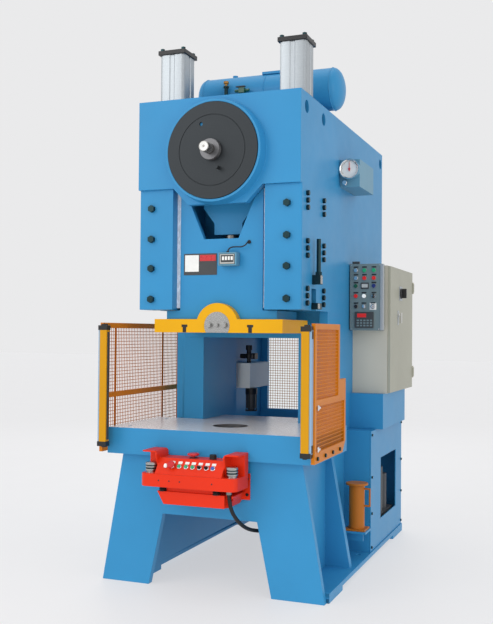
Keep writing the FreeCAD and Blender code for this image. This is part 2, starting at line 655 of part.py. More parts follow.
def main_gear():
    """Crank gear, keyed on the shaft, with a tooth pointing straight down."""
    wheel = gear(GEAR_TEETH, GEAR_WIDTH, GEAR_FRONT, CRANK_Z, -math.pi / 2, JOURNAL_R)
    for i in range(SPOKE_HOLES):
        angle = 2 * math.pi * i / SPOKE_HOLES
        centre = V(SPOKE_RING_R * math.cos(angle), GEAR_FRONT,
                   CRANK_Z + SPOKE_RING_R * math.sin(angle))
        wheel = wheel.cut(rod(SPOKE_HOLE_R, centre, GEAR_WIDTH, Y_AXIS))
    return wheel


def pinion_shaft():
    """Flywheel shaft with the pinion cut on it; a tooth gap points straight up."""
    z = pinion_z()
    start = THROAT_FRONT
    shaft = rod(PINION_R_SHAFT, V(0, start, z), FRAME_REAR - start, Y_AXIS)
    half_pitch = math.pi / PINION_TEETH
    pinion = gear(PINION_TEETH, GEAR_WIDTH + 10, GEAR_FRONT - 5, z, math.pi / 2 + half_pitch,
                  PINION_R_SHAFT - 1)
    return join(shaft, pinion)


def bearing_bushes():
    """Bronze bushes of the crankshaft and of the flywheel shaft."""
    boss_back = HEAD_FRONT + HEAD_PLATE
    front_start = DISC_FRONT + DISC_T + 1
    rear = THROAT_FRONT
    z = pinion_z()
    return group([
        tube(JOURNAL_R + BUSH_T, JOURNAL_R + RUN_GAP, V(0, front_start, CRANK_Z),
             boss_back - front_start, Y_AXIS),
        tube(JOURNAL_R + BUSH_T, JOURNAL_R + RUN_GAP, V(0, rear, CRANK_Z), BEARING_PLATE, Y_AXIS),
        tube(PINION_R_SHAFT + BUSH_T, PINION_R_SHAFT + RUN_GAP, V(0, rear, z), BEARING_PLATE,
             Y_AXIS),
        tube(PINION_R_SHAFT + BUSH_T, PINION_R_SHAFT + RUN_GAP,
             V(0, FRAME_REAR - REAR_PLATE, z), REAR_PLATE, Y_AXIS),
    ])


def connecting_rod():
    """Rod with its eye round the crank pin, a wedge-shaped shoulder and a neck."""
    pin_z = CRANK_Z + STROKE / 2
    eye = rod(ROD_EYE_R, V(0, -ROD_HALF_Y, pin_z), 2 * ROD_HALF_Y, Y_AXIS)
    body = [
        (-ROD_SHOULDER_HALF, pin_z - 40), (-ROD_SHOULDER_HALF, ROD_SHOULDER_Z),
        (-ROD_NECK_HALF, ROD_NECK_Z), (-ROD_NECK_HALF, ROD_END_Z),
        (ROD_NECK_HALF, ROD_END_Z), (ROD_NECK_HALF, ROD_NECK_Z),
        (ROD_SHOULDER_HALF, ROD_SHOULDER_Z), (ROD_SHOULDER_HALF, pin_z - 40),
    ]
    bar = join(eye, front_prism(body, -ROD_HALF_Y, ROD_HALF_Y))
    bar = bar.cut(rod(PIN_R + RUN_GAP, V(0, -ROD_HALF_Y, pin_z), 2 * ROD_HALF_Y, Y_AXIS))
    return bar.cut(rod(SCREW_R, V(0, 0, ROD_END_Z), 120, Z_AXIS))


def ball_screw():
    """Adjusting screw with its ball end."""
    screw = rod(SCREW_R, V(0, 0, BALL_Z + BALL_R - 12), ROD_END_Z + 120 - BALL_Z - BALL_R + 12,
                Z_AXIS)
    collar = rod(SCREW_R + 20, V(0, 0, ROD_END_Z - 70), 40, Z_AXIS)
    return join(screw, collar, Part.makeSphere(BALL_R, V(0, 0, BALL_Z)))


def belt_fronts():
    """Front plane of each belt and of its grooves."""
    return [FLYWHEEL_FRONT + BELT_START + BELT_PITCH * i for i in range(BELT_COUNT)]


def flywheel():
    z = pinion_z()
    end = FLYWHEEL_FRONT + FLYWHEEL_WIDTH
    rim = tube(FLYWHEEL_R, FLYWHEEL_R - 70, V(0, FLYWHEEL_FRONT, z), FLYWHEEL_WIDTH, Y_AXIS)
    web = tube(FLYWHEEL_R - 60, 60, V(0, end - 60, z), 40, Y_AXIS)
    hub = tube(85, PINION_R_SHAFT + RUN_GAP, V(0, FLYWHEEL_FRONT, z), FLYWHEEL_WIDTH, Y_AXIS)
    wheel = join(rim, web, hub)
    for y in belt_fronts():
        wheel = wheel.cut(tube(FLYWHEEL_R + 1, FLYWHEEL_R - GROOVE_DEPTH, V(0, y, z), BELT_W,
                               Y_AXIS))
    return wheel


def clutch_brake():
    """Air clutch and brake pack on the flywheel shaft."""
    z = pinion_z()
    start = FLYWHEEL_FRONT - CLUTCH_WIDTH - 2
    drum = tube(CLUTCH_R, PINION_R_SHAFT, V(0, start, z), CLUTCH_WIDTH, Y_AXIS)
    for i in range(3):
        ring = tube(CLUTCH_R + 1, CLUTCH_R - 18, V(0, start + 20 + 26 * i, z), 10, Y_AXIS)
        drum = drum.cut(ring)
    return drum


def main_motor():
    """Foot-mounted motor with cooling fins."""
    start = V(0, MOTOR_FRONT, MOTOR_Z)
    body = rod(MOTOR_R - 12, start, MOTOR_LENGTH, Y_AXIS)
    fins = []
    for i in range(20):
        fin = block((-3, 3), (MOTOR_FRONT + 20, MOTOR_FRONT + MOTOR_LENGTH - 20),
                    (MOTOR_R - 20, MOTOR_R))
        fin.rotate(V(0, 0, 0), Y_AXIS, 18 * i)
        fin.translate(V(0, 0, MOTOR_Z))
        fins.append(fin)
    foot = block((-100, 100), (MOTOR_FRONT + 50, MOTOR_FRONT + MOTOR_LENGTH - 50),
                 (THROAT_ROOF + HEAD_FLOOR, MOTOR_Z - MOTOR_R + 30))
    return join(body, foot, *fins)


def motor_pulley():
    """Belt pulley with the motor's shaft end."""
    shaft_start = MOTOR_FRONT + MOTOR_LENGTH + 1
    start = FLYWHEEL_FRONT + 10
    width = FLYWHEEL_WIDTH - 20
    pulley = rod(PULLEY_R, V(0, start, MOTOR_Z), width, Y_AXIS)
    for y in belt_fronts():
        pulley = pulley.cut(tube(PULLEY_R + 1, PULLEY_R - GROOVE_DEPTH, V(0, y, MOTOR_Z), BELT_W,
                                 Y_AXIS))
    return join(pulley, rod(20, V(0, shaft_start, MOTOR_Z), start - shaft_start, Y_AXIS))


def drive_belts():
    """Five belts round the flywheel and the motor pulley, just clear of both."""
    z = pinion_z()
    distance = z - MOTOR_Z
    big, small = FLYWHEEL_R + BELT_GAP, PULLEY_R + BELT_GAP
    tilt = math.asin((big - small) / distance)
    loops = []
    for extra in (BELT_T, 0):
        upper, lower = big + extra, small + extra
        side = (math.cos(tilt), -math.sin(tilt))
        right_up = V(upper * side[0], 0, z + upper * side[1])
        right_low = V(lower * side[0], 0, MOTOR_Z + lower * side[1])
        left_up = V(-right_up.x, 0, right_up.z)
        left_low = V(-right_low.x, 0, right_low.z)
        wire = Part.Wire([
            Part.Arc(right_up, V(0, 0, z + upper), left_up).toShape(),
            Part.makeLine(left_up, left_low),
            Part.Arc(left_low, V(0, 0, MOTOR_Z - lower), right_low).toShape(),
            Part.makeLine(right_low, right_up),
        ])
        loops.append(Part.Face(wire))
    belts = []
    for y in belt_fronts():
        belt = loops[0].extrude(V(0, BELT_W, 0)).cut(loops[1].extrude(V(0, BELT_W, 0)))
        belt.translate(V(0, y, 0))
        belts.append(belt)
    return group(belts)


# ---- slide ---------------------------------------------------------------
def slide_body():
    """Hollow slide: wedge notch in front, ball seat inside, ears for the balancers."""
    body = block((-SLIDE_HALF, SLIDE_HALF), (SLIDE_FRONT, SLIDE_REAR), (FLANGE_TOP, SLIDE_TOP))
    foot = block((-FOOT_PLATE_HALF, FOOT_PLATE_HALF), (SLIDE_FRONT, SLIDE_REAR),
                 (FLANGE_TOP, FOOT_PLATE_TOP))
    body = join(body, foot)
    y0, y1 = SLIDE_FRONT + SLIDE_WALL, SLIDE_REAR - SLIDE_WALL
    seat_z = BALL_Z - BALL_R - SEAT_GAP
    body = body.cut(block((-190, 190), (y0, y1), (seat_z, SLIDE_TOP)))
    wide = SLIDE_HALF - SLIDE_SIDE_WALL
    body = body.cut(block((-wide, wide), (y0, y1), (POCKET_FLOOR - STROKE / 2, SLIDE_TOP)))
    notch = [(-NOTCH_HALF, NOTCH_Z), (NOTCH_HALF, NOTCH_Z),
             (NOTCH_TOP_HALF, SLIDE_TOP), (-NOTCH_TOP_HALF, SLIDE_TOP)]
    body = body.cut(front_prism(notch, SLIDE_FRONT, y0))
    body = body.cut(block((-SLIDE_HALF, SLIDE_HALF), BAR_SLOT_Y,
                          (BAR_Z - GUIDE_GAP, BAR_Z + BAR_T + BAR_TRAVEL + 3)))
    ears = []
    for side in (-1, 1):
        ears.append(block((side * (SLIDE_HALF - 5), side * (BALANCE_X + 30)),
                          (BALANCE_Y - EAR_HALF, BALANCE_Y + EAR_HALF),
                          (SLIDE_TOP - EAR_T, SLIDE_TOP)))
    return join(body, *ears)


def t_slot(y0, y1):
    """Cutter for one T-slot in the slide's lower face, at X = 0."""
    neck = block((-T_NECK / 2, T_NECK / 2), (y0, y1), (FLANGE_BOTTOM, FLANGE_BOTTOM + T_DEPTH))
    head = block((-T_HEAD / 2, T_HEAD / 2), (y0, y1),
                 (FLANGE_BOTTOM + T_DEPTH - T_HEAD_T, FLANGE_BOTTOM + T_DEPTH))
    return neck.fuse(head)


def clamp_outline(gap):
    """Round pocket of the shank clamp, cut off level with the slide's lower face."""
    disc = rod(CLAMP_R + gap, V(0, FLANGE_FRONT, HUMP_Z), -SHANK_R - FLANGE_FRONT, Y_AXIS)
    keep = block((-CLAMP_R - 5, CLAMP_R + 5), (FLANGE_FRONT, 0), (FLANGE_BOTTOM, FLANGE_TOP + 60))
    return disc.common(keep)


def slide_flange():
    """Lower plate of the slide with the rounded hump, T-slots and shank hole."""
    plate = block((-FLANGE_HALF, FLANGE_HALF), (FLANGE_FRONT, FLANGE_REAR),
                  (FLANGE_BOTTOM, FLANGE_TOP))
    hump = rod(HUMP_R, V(0, FLANGE_FRONT, HUMP_Z), SLIDE_FRONT - FLANGE_FRONT, Y_AXIS)
    hump = hump.common(block((-HUMP_R, HUMP_R), (FLANGE_FRONT, SLIDE_FRONT),
                             (FLANGE_BOTTOM, HUMP_Z + HUMP_R)))
    plate = join(plate, hump)
    for x in (-T_SLOT_X, T_SLOT_X):
        cutter = t_slot(FLANGE_FRONT, FLANGE_REAR)
        cutter.translate(V(x, 0, 0))
        plate = plate.cut(cutter)
    pocket = clamp_outline(0).common(block((-CLAMP_R, CLAMP_R), (FLANGE_FRONT, SLIDE_FRONT),
                                           (FLANGE_BOTTOM, HUMP_Z + CLAMP_R)))
    plate = plate.cut(pocket)
    return plate.cut(rod(SHANK_R, V(0, 0, FLANGE_BOTTOM), FLANGE_TOP - FLANGE_BOTTOM, Z_AXIS))


def shank_clamp():
    """Round clamp cap in the hump with its three bolts."""
    cap = clamp_outline(0).common(block((-CLAMP_R, CLAMP_R), (FLANGE_FRONT, SLIDE_FRONT),
                                        (FLANGE_BOTTOM, HUMP_Z + CLAMP_R)))
    bolts = [hex_bolt(30, 20, V(x, FLANGE_FRONT, HUMP_Z + 3), V(0, -1, 0)) for x in (-45, 45)]
    bolts.append(hex_bolt(22, 14, V(0, FLANGE_FRONT, HUMP_Z + 3), V(0, -1, 0)))
    return group([cap] + bolts)


def indicator_box():
    """Die-height indicator on the slide's front face, with its lead and the lead's gland."""
    end = LEAD[-1]
    gland = rod(LEAD_GLAND_R, V(end.x, SLIDE_FRONT - LEAD_GLAND_T, end.z), LEAD_GLAND_T, Y_AXIS)
    return group([block(*INDICATOR), bent_tube(LEAD, LEAD_R), gland])


def balance_rods():
    """Piston rods on the slide's ears, each with its piston."""
    rods = []
    for x in (-BALANCE_X, BALANCE_X):
        top = BALANCE_TOP - BALANCE_CAP - PISTON_DROP
        bar = rod(BALANCE_ROD_R, V(x, BALANCE_Y, SLIDE_TOP), top - SLIDE_TOP, Z_AXIS)
        piston = rod(BALANCE_BORE_R - RUN_GAP, V(x, BALANCE_Y, top - PISTON_T), PISTON_T, Z_AXIS)
        rods.append(join(bar, piston))
    return group(rods)


def knockout_bar():
    half = FRAME_HALF + BAR_REACH
    return block((-half, half), (BAR_SLOT_Y[0] + 4, BAR_SLOT_Y[1] - 4), (BAR_Z, BAR_Z + BAR_T))


def knockout_stop():
    """Right-hand adjustable stop: clamp block, screw and lock nuts on the side plate."""
    x = FRAME_HALF
    clamp = block((x, x + STOP_REACH), STOP_Y, STOP_Z)
    foot = V(STOP_SCREW_X, STOP_SCREW_Y, STOP_Z[1])
    screw = rod(STOP_SCREW_R, foot, STOP_SCREW_LENGTH, Z_AXIS)
    nut = hex_bolt(32, 18, foot, Z_AXIS)
    return join(clamp, screw, nut)


# ---- top: balancers and tank --------------------------------------------
def balance_cylinder(x):
    half = BALANCE_SIDE / 2
    low = FRAME_TOP
    body = block((x - half + 4, x + half - 4), (BALANCE_Y - half + 4, BALANCE_Y + half - 4),
                 (low, BALANCE_TOP - BALANCE_CAP))
    body = body.makeFillet(BALANCE_ROUND, [e for e in body.Edges if e.BoundBox.ZLength > 100])
    cap = block((x - half, x + half), (BALANCE_Y - half, BALANCE_Y + half),
                (BALANCE_TOP - BALANCE_CAP, BALANCE_TOP))
    body = join(body, cap)
    floor = V(x, BALANCE_Y, low + BALANCE_BASE)
    body = body.cut(rod(BALANCE_BORE_R, floor, BALANCE_TOP - BALANCE_CAP - floor.z, Z_AXIS))
    body = body.cut(rod(BALANCE_ROD_R + RUN_GAP, V(x, BALANCE_Y, low), BALANCE_BASE, Z_AXIS))
    nuts = [hex_bolt(24, 16, V(x + sx * (half - 20), BALANCE_Y + sy * (half - 20), BALANCE_TOP),
                     Z_AXIS) for sx in (-1, 1) for sy in (-1, 1)]
    return join(body, *nuts)


def air_tank():
    """Domed air tank on two saddles with its outlet elbow."""
    axis_start = V(TANK_LEFT + TANK_DOME, TANK_Y, TANK_Z)
    straight = TANK_RIGHT - TANK_LEFT - 2 * TANK_DOME
    barrel = rod(TANK_R, axis_start, straight, X_AXIS)
    pieces = [barrel, dome(TANK_LEFT + TANK_DOME, -1), dome(TANK_RIGHT - TANK_DOME, 1)]
    for x in SADDLE_X:
        pieces.append(block((x - SADDLE_T / 2, x + SADDLE_T / 2),
                            (TANK_Y - SADDLE_HALF, TANK_Y + SADDLE_HALF),
                            (FRAME_TOP, TANK_Z - TANK_R / 2)))
    pieces.append(rod(TANK_PORT_R, V(TANK_PORT_X, TANK_Y, TANK_Z), TANK_R + TANK_PORT_H, Z_AXIS))
    return join(*pieces)


def dome(x, side):
    """Dished end of the tank: half of a flattened sphere."""
    ball = Part.makeSphere(TANK_R)
    squeeze = FreeCAD.Matrix()
    squeeze.A11 = TANK_DOME / TANK_R
    ball = ball.transformGeometry(squeeze)
    half = block((0, side * TANK_R), (-TANK_R, TANK_R), (-TANK_R, TANK_R))
    end = ball.common(half)
    end.translate(V(x, TANK_Y, TANK_Z))
    return end


# ---- gauge box -----------------------------------------------------------
def gauge_centre():
    xs, ys, zs = GAUGE_BOX
    return V(xs[0] + GAUGE_R + GAUGE_CLEAR, ys[0], zs[1] - GAUGE_R)


def pressure_gauge():
    """Round gauge case, open in front, on the box's front face."""
    centre = gauge_centre()
    front = V(centre.x, centre.y - GAUGE_DEPTH, centre.z)
    case = rod(GAUGE_R, front, GAUGE_DEPTH, Y_AXIS)
    case = case.cut(rod(GAUGE_R - GAUGE_WALL, front, DIAL_DEPTH, Y_AXIS))
    return case.cut(rod(NEEDLE_R + RUN_GAP, front, DIAL_DEPTH + 14, Y_AXIS))


def gauge_needle():
    centre = gauge_centre()
    y = centre.y - GAUGE_DEPTH + 8
    pointer = front_prism([(centre.x - 4, centre.z - 14), (centre.x + 4, centre.z - 14),
                           (centre.x + 1, centre.z + 44), (centre.x - 1, centre.z + 44)],
                          y, y + NEEDLE_T)
    pivot = rod(NEEDLE_R, V(centre.x, y, centre.z), 20, Y_AXIS)
    return join(pointer, pivot)


def regulator_knob():
    centre = gauge_centre()
    front = V(centre.x + REGULATOR_DX, centre.y - REGULATOR_REACH,
              GAUGE_BOX[2][0] + REGULATOR_RISE)
    return rod(REGULATOR_R, front, REGULATOR_REACH - GUIDE_GAP, Y_AXIS)


# ---- electrics -----------------------------------------------------------
def hinge_heights():
    """Lower end of each door knuckle."""
    zs = CABINET[2]
    return (zs[0] + HINGE_EDGE - HINGE_LENGTH / 2, zs[1] - HINGE_EDGE - HINGE_LENGTH / 2)


def cabinet_body():
    """Cabinet shell with two hinge pins held between ears on its rear wall."""
    xs, ys, zs = CABINET
    lip = CABINET_LIP
    mouth = block((xs[1] - 2 * SKIN, xs[1]), (ys[0] + lip, ys[1] - lip), (zs[0] + lip, zs[1] - lip))
    body = shell(xs, ys, zs, SKIN, [mouth])
    pieces = []
    for z in hinge_heights():
        start = z - HINGE_EAR_GAP - HINGE_EAR
        length = HINGE_LENGTH + 2 * (HINGE_EAR_GAP + HINGE_EAR)
        pieces.append(rod(HINGE_PIN_R, V(HINGE_X, HINGE_Y, start), length, Z_AXIS))
        for bottom in (start, start + length - HINGE_EAR):
            pieces.append(block((xs[1] - 20, HINGE_X + HINGE_PIN_R), (HINGE_Y, HINGE_Y + HINGE_R),
                                (bottom, bottom + HINGE_EAR)))
    return join(body, *pieces)


def cabinet_door():
    """Folded door with a knuckle on each hinge pin."""
    xs, ys, zs = CABINET
    margin, fold = DOOR_MARGIN, DOOR_MARGIN + DOOR_FOLD
    plate = block((xs[1] + DOOR_GAP, xs[1] + DOOR_T), (ys[0] + margin, ys[1] - margin),
                  (zs[0] + margin, zs[1] - margin))
    hollow = block((xs[1] + DOOR_GAP, xs[1] + DOOR_T - SKIN), (ys[0] + fold, ys[1] - fold),
                   (zs[0] + fold, zs[1] - fold))
    door = plate.cut(hollow)
    knuckles = [rod(HINGE_R, V(HINGE_X, HINGE_Y, z), HINGE_LENGTH, Z_AXIS)
                for z in hinge_heights()]
    door = join(door, *knuckles)
    for z in hinge_heights():
        door = door.cut(rod(HINGE_PIN_R + RUN_GAP, V(HINGE_X, HINGE_Y, z), HINGE_LENGTH, Z_AXIS))
    return door


def main_switch():
    """Rotary isolator handle on the cabinet door."""
    x = CABINET[0][1] + DOOR_T + GUIDE_GAP
    disc = rod(SWITCH_R, V(x, SWITCH_Y, SWITCH_Z), SWITCH_DISC_T, X_AXIS)
    grip = block((x + SWITCH_DISC_T, x + SWITCH_REACH - GUIDE_GAP),
                 (SWITCH_Y - SWITCH_GRIP_T / 2, SWITCH_Y + SWITCH_GRIP_T / 2),
                 (SWITCH_Z - SWITCH_GRIP_HALF, SWITCH_Z + SWITCH_GRIP_HALF))
    return join(disc, grip)


def door_lock():
    """Lock handle: round hub and a grip hanging from it."""
    x = CABINET[0][1] + DOOR_T + GUIDE_GAP
    return join(rod(LOCK_R, V(x, LOCK_Y, LOCK_Z), LOCK_HUB_T, X_AXIS),
                block((x + LOCK_HUB_T, x + LOCK_REACH), (LOCK_Y - 8, LOCK_Y + 8),
                      (LOCK_Z - 55, LOCK_Z + 12)))


def panel_box():
    return shell(*PANEL_BOX, SKIN)


def panel_plate(xs, zs, depth):
    """Flat module on the panel's front face; xs are measured from its left edge."""
    y = PANEL_BOX[1][0]
    return block((PANEL_LEFT + xs[0], PANEL_LEFT + xs[1]), (y - depth, y), zs)


def panel_controls():
    """Fixed lamps, push heads, display and control module of the operator panel."""
    y = PANEL_BOX[1][0]
    pieces = [rod(LAMP_R, V(PANEL_LEFT + x, y - LAMP_DEPTH, z), LAMP_DEPTH, Y_AXIS)
              for x, z in LAMPS]
    return group(pieces + [panel_plate(*DISPLAY_PLATE), panel_plate(*MODULE_PLATE)])


def panel_selector():
    """Selector switch with a bar grip."""
    x, z = PANEL_LEFT + SELECTOR_AT[0], SELECTOR_AT[1]
    y = PANEL_BOX[1][0] - GUIDE_GAP
    return join(rod(KNOB_R, V(x, y - 10, z), 10, Y_AXIS),
                block((x - 5, x + 5), (y - 26, y - 10), (z - 13, z + 13)))


def key_switch():
    """Key in its lock barrel."""
    x, z = PANEL_LEFT + KEY_AT[0], KEY_AT[1]
    y = PANEL_BOX[1][0] - GUIDE_GAP
    return join(rod(KNOB_R, V(x, y - 12, z), 12, Y_AXIS),
                block((x - 2, x + 2), (y - 40, y - 12), (z - 12, z + 12)))


def rear_box():
    """Side box of the base round the hydraulic pump, open towards its cover."""
    xs, ys, zs = REAR_BOX
    lip = REAR_BOX_LIP
    mouth = block((xs[1] - 2 * BOX_SKIN, xs[1]), (ys[0] + lip, ys[1] - lip),
                  (zs[0] + lip, zs[1] - lip))
    return shell(xs, ys, zs, BOX_SKIN, [mouth])


def rear_box_cover():
    xs, ys, zs = REAR_BOX
    plate = block((xs[1], xs[1] + COVER_T), ys, (zs[0], zs[1]))
    return plate.cut(block((xs[1], xs[1] + COVER_T), WINDOW_Y, WINDOW_Z))


def pump_unit():
    """Hydraulic overload pump: tank, upright motor and accumulator pipes."""
    x = (FRAME_HALF + REAR_BOX[0][1]) / 2
    floor = REAR_BOX[2][0] + BOX_SKIN
    lid = floor + PUMP_TANK_H
    pieces = [block((x - PUMP_HALF, x + PUMP_HALF), PUMP_Y, (floor, lid))]
    for y, radius, height in (PUMP_MOTOR, PUMP_VESSEL, PUMP_PIPE):
        pieces.append(rod(radius, V(x, y, lid), height, Z_AXIS))
    return join(*pieces)


# ---- guards, curtains, console ------------------------------------------
def guard_outlines(rear_low, rear_high):
    """Outer and inner (Y, Z) outlines of one side guard."""
    bar = GUARD_BAR
    outer = [(GUARD_FRONT, GUARD_BOTTOM), (rear_low - GUARD_FOOT, GUARD_BOTTOM),
             (rear_low, GUARD_BOTTOM + GUARD_FOOT), (rear_low, GUARD_STEP),
             (rear_high, GUARD_STEP), (rear_high, GUARD_TOP), (GUARD_FRONT, GUARD_TOP)]
    sill = GUARD_BOTTOM + GUARD_FOOT
    low = [(GUARD_FRONT + bar, sill), (rear_low - bar, sill),
           (rear_low - bar, GUARD_MID), (GUARD_FRONT + bar, GUARD_MID)]
    high = [(GUARD_FRONT + bar, GUARD_MID + bar), (rear_high - bar, GUARD_MID + bar),
            (rear_high - bar, GUARD_TOP - bar), (GUARD_FRONT + bar, GUARD_TOP - bar)]
    return outer, low, high


def guard_frame(rear_low, rear_high):
    """Right-hand guard frame of flat bar, bolted to the table's side."""
    x0, x1 = TABLE_HALF, TABLE_HALF + GUARD_T
    outer, low, high = guard_outlines(rear_low, rear_high)
    if rear_low == rear_high:
        outer = [point for point in outer if point[1] != GUARD_STEP]
    frame = side_prism(outer, x0, x1)
    return frame.cut(side_prism(low, x0, x1)).cut(side_prism(high, x0, x1))


def guard_mesh(rear_low, rear_high):
    """Right-hand infill of both windows of one guard."""
    x0 = TABLE_HALF + (GUARD_T - MESH_T) / 2
    _, low, high = guard_outlines(rear_low, rear_high)
    return [side_prism(low, x0, x0 + MESH_T), side_prism(high, x0, x0 + MESH_T)]


def guard_meshes():
    half = inner_half() - 50
    y = FRAME_REAR - REAR_PLATE / 2
    rear = block((-half, half), (y, y + MESH_T), (TABLE_TOP - TABLE_T + 100, THROAT_ROOF - 10))
    right = guard_mesh(RIGHT_REAR_LOW, RIGHT_REAR_HIGH)
    left = [mirrored(panel) for panel in guard_mesh(LEFT_REAR, LEFT_REAR)]
    return group(right + left + [rear])


def light_curtain():
    return block((POST_X - POST_W / 2, POST_X + POST_W / 2), (GUARD_FRONT - POST_D, GUARD_FRONT),
                 (POST_BOTTOM, POST_TOP))


def console_housing():
    """Console: front tray, sloped middle box and a hood over each palm button."""
    back = TABLE_FRONT - CONSOLE_GAP
    tray = block((-CONSOLE_HALF, CONSOLE_HALF), (CONSOLE_FRONT, back),
                 (CONSOLE_BOTTOM, CONSOLE_TRAY))
    tray = tray.makeFillet(CONSOLE_ROUND, [e for e in tray.Edges
                                if e.BoundBox.ZLength > 50 and e.BoundBox.YMax < back - 10])
    middle = [(DECK_LOW, CONSOLE_TRAY), (DECK_HIGH, CONSOLE_DECK),
              (back, CONSOLE_DECK), (back, CONSOLE_TRAY)]
    pieces = [tray, side_prism(middle, -HOOD_INNER, HOOD_INNER)]
    for side in (-1, 1):
        outer = (side * HOOD_INNER, side * CONSOLE_HALF)
        wall = (side * HOOD_INNER, side * (HOOD_INNER + HOOD_T))
        profile = [(CONSOLE_FRONT + 70, CONSOLE_TRAY), (CONSOLE_FRONT + 30, HOOD_TOP - 20),
                   (CONSOLE_FRONT + 40, HOOD_TOP), (back, HOOD_TOP), (back, CONSOLE_TRAY)]
        pieces.append(side_prism(profile, *wall))
        pieces.append(block(outer, (CONSOLE_FRONT + 36, back), (HOOD_TOP - HOOD_T, HOOD_TOP)))
        pieces.append(block(outer, (back - 50, back), (CONSOLE_TRAY, HOOD_TOP)))
    body = join(*pieces)
    body = body.makeFillet(HOOD_ROUND, hood_edges(body, HOOD_INNER, HOOD_TOP))
    for side in (-1, 1):
        body = body.cut(rod(PALM_STEM_R + GUIDE_GAP, V(side * PALM_X, PALM_Y, CONSOLE_TRAY - 40),
                            40, Z_AXIS))
    body.translate(V(CONSOLE_X, 0, 0))
    return body.cut(rod(STOP_STEM_R + GUIDE_GAP, V(*STOP_AT, CONSOLE_DECK - 30), 30, Z_AXIS))


def hood_edges(body, x, z):
    """Edges along Y at distance x from the console's middle and at height z."""
    found = []
    for edge in body.Edges:
        box = edge.BoundBox
        if (box.YLength > 20 and abs(abs(box.XMin) - x) < 0.01 and box.XLength < 0.01
                and abs(box.ZMin - z) < 0.01 and box.ZLength < 0.01):
            found.append(edge)
    return found


def console_stand():
    """Tapered box under the console with rubber mounts and a wall flange."""
    front = CONSOLE_FRONT + STAND_SETBACK
    shape = [(-STAND_WIDE, STAND_TOP), (STAND_WIDE, STAND_TOP),
             (STAND_NARROW, STAND_BOTTOM), (-STAND_NARROW, STAND_BOTTOM)]
    box = front_prism(shape, front, LEG_FRONT)
    box = box.cut(rod(HOSE_R + 12, V(HOSE[0].x, HOSE[0].y, STAND_BOTTOM), 80, Z_AXIS))
    flange = block((-STAND_FLANGE_HALF, STAND_FLANGE_HALF), (LEG_FRONT - STAND_FLANGE_T, LEG_FRONT),
                   (STAND_BOTTOM + 20, CONSOLE_TRAY))
    neck = block(NECK_X, (front + NECK_SETBACK, TABLE_FRONT - 40),
                 (STAND_TOP, CONSOLE_BOTTOM - NECK_GAP))
    mounts = [rod(MOUNT_R, V(x, y, STAND_TOP), CONSOLE_BOTTOM - STAND_TOP, Z_AXIS)
              for x in MOUNT_X for y in (front + 6, TABLE_FRONT - 20)]
    mounts = [mount.cut(neck) for mount in mounts]
    return group([join(box, flange, neck)] + mounts)


def palm_button(side):
    """Steel palm button: wide head on a stem that slides into the shelf."""
    x = CONSOLE_X + side * PALM_X
    head = rod(PALM_R, V(x, PALM_Y, CONSOLE_TRAY + PALM_LIFT), PALM_HEAD, Z_AXIS)
    stem = rod(PALM_STEM_R, V(x, PALM_Y, CONSOLE_TRAY - PALM_DEPTH), PALM_DEPTH + PALM_LIFT + 2,
               Z_AXIS)
    return join(head, stem)


def emergency_stop():
    head = rod(STOP_R, V(*STOP_AT, CONSOLE_DECK + 12), STOP_HEAD, Z_AXIS)
    stem = rod(STOP_STEM_R, V(*STOP_AT, CONSOLE_DECK - 20), 34, Z_AXIS)
    return join(head, stem)


def console_controls():
    """Fixed small operators on the sloped face and the selector knob on top."""
    normal = V(0, CONSOLE_TRAY - CONSOLE_DECK, DECK_HIGH - DECK_LOW)
    normal.normalize()
    y, z = (DECK_LOW + DECK_HIGH) / 2, (CONSOLE_TRAY + CONSOLE_DECK) / 2
    pieces = [rod(KEY_R, V(x, y, z), KEY_H, normal) for x in KEYS_X]
    pieces.append(rod(MUSHROOM_R, V(MUSHROOM_X, y, z), MUSHROOM_H, normal))
    pieces.append(rod(KNOB_TOP_R, V(*KNOB_AT, CONSOLE_DECK), KNOB_TOP_H, Z_AXIS))
    return group(pieces)


def bent_tube(route, radius):
    """Round solid of straight runs and tangent arcs along a route."""
    edges = []
    here = route[0]
    for i in range(1, len(route) - 1):
        before, corner, after = route[i - 1], route[i], route[i + 1]
        run_in, run_out = corner - before, after - corner
        half_turn = run_in.getAngle(run_out) / 2
        cut = 0.45 * min(run_in.Length, run_out.Length)
        bend = cut / math.tan(half_turn)
        print("bend", i, "radius", round(bend))
        into = corner - run_in * (cut / run_in.Length)
        out = corner + run_out * (cut / run_out.Length)
        bisector = (into + out) * 0.5 - corner
        reach = bend / math.cos(half_turn) - bend
        middle = corner + bisector * (reach / bisector.Length)
        edges.append(Part.LineSegment(here, into).toShape())
        edges.append(Part.Arc(into, middle, out).toShape())
        here = out
    edges.append(Part.LineSegment(here, route[-1]).toShape())
    path = Part.Wire(edges)
    section = Part.Face(Part.Wire(Part.makeCircle(radius, route[0], route[1] - route[0])))
    solid = path.makePipe(section)
    print("length", round(path.Length), "volume ratio",
          round(solid.Volume / (math.pi * radius ** 2 * path.Length), 4))
    return solid


def hose_glands():
    """Glands at both ends of the hose."""
    start, end = HOSE[0], HOSE[-1]
    upper = rod(HOSE_R + GLAND_WALL, start, CONSOLE_BOTTOM - start.z, Z_AXIS)
    lower = rod(HOSE_R + GLAND_WALL, end, inner_half() - end.x, X_AXIS)
    return group([upper, lower])


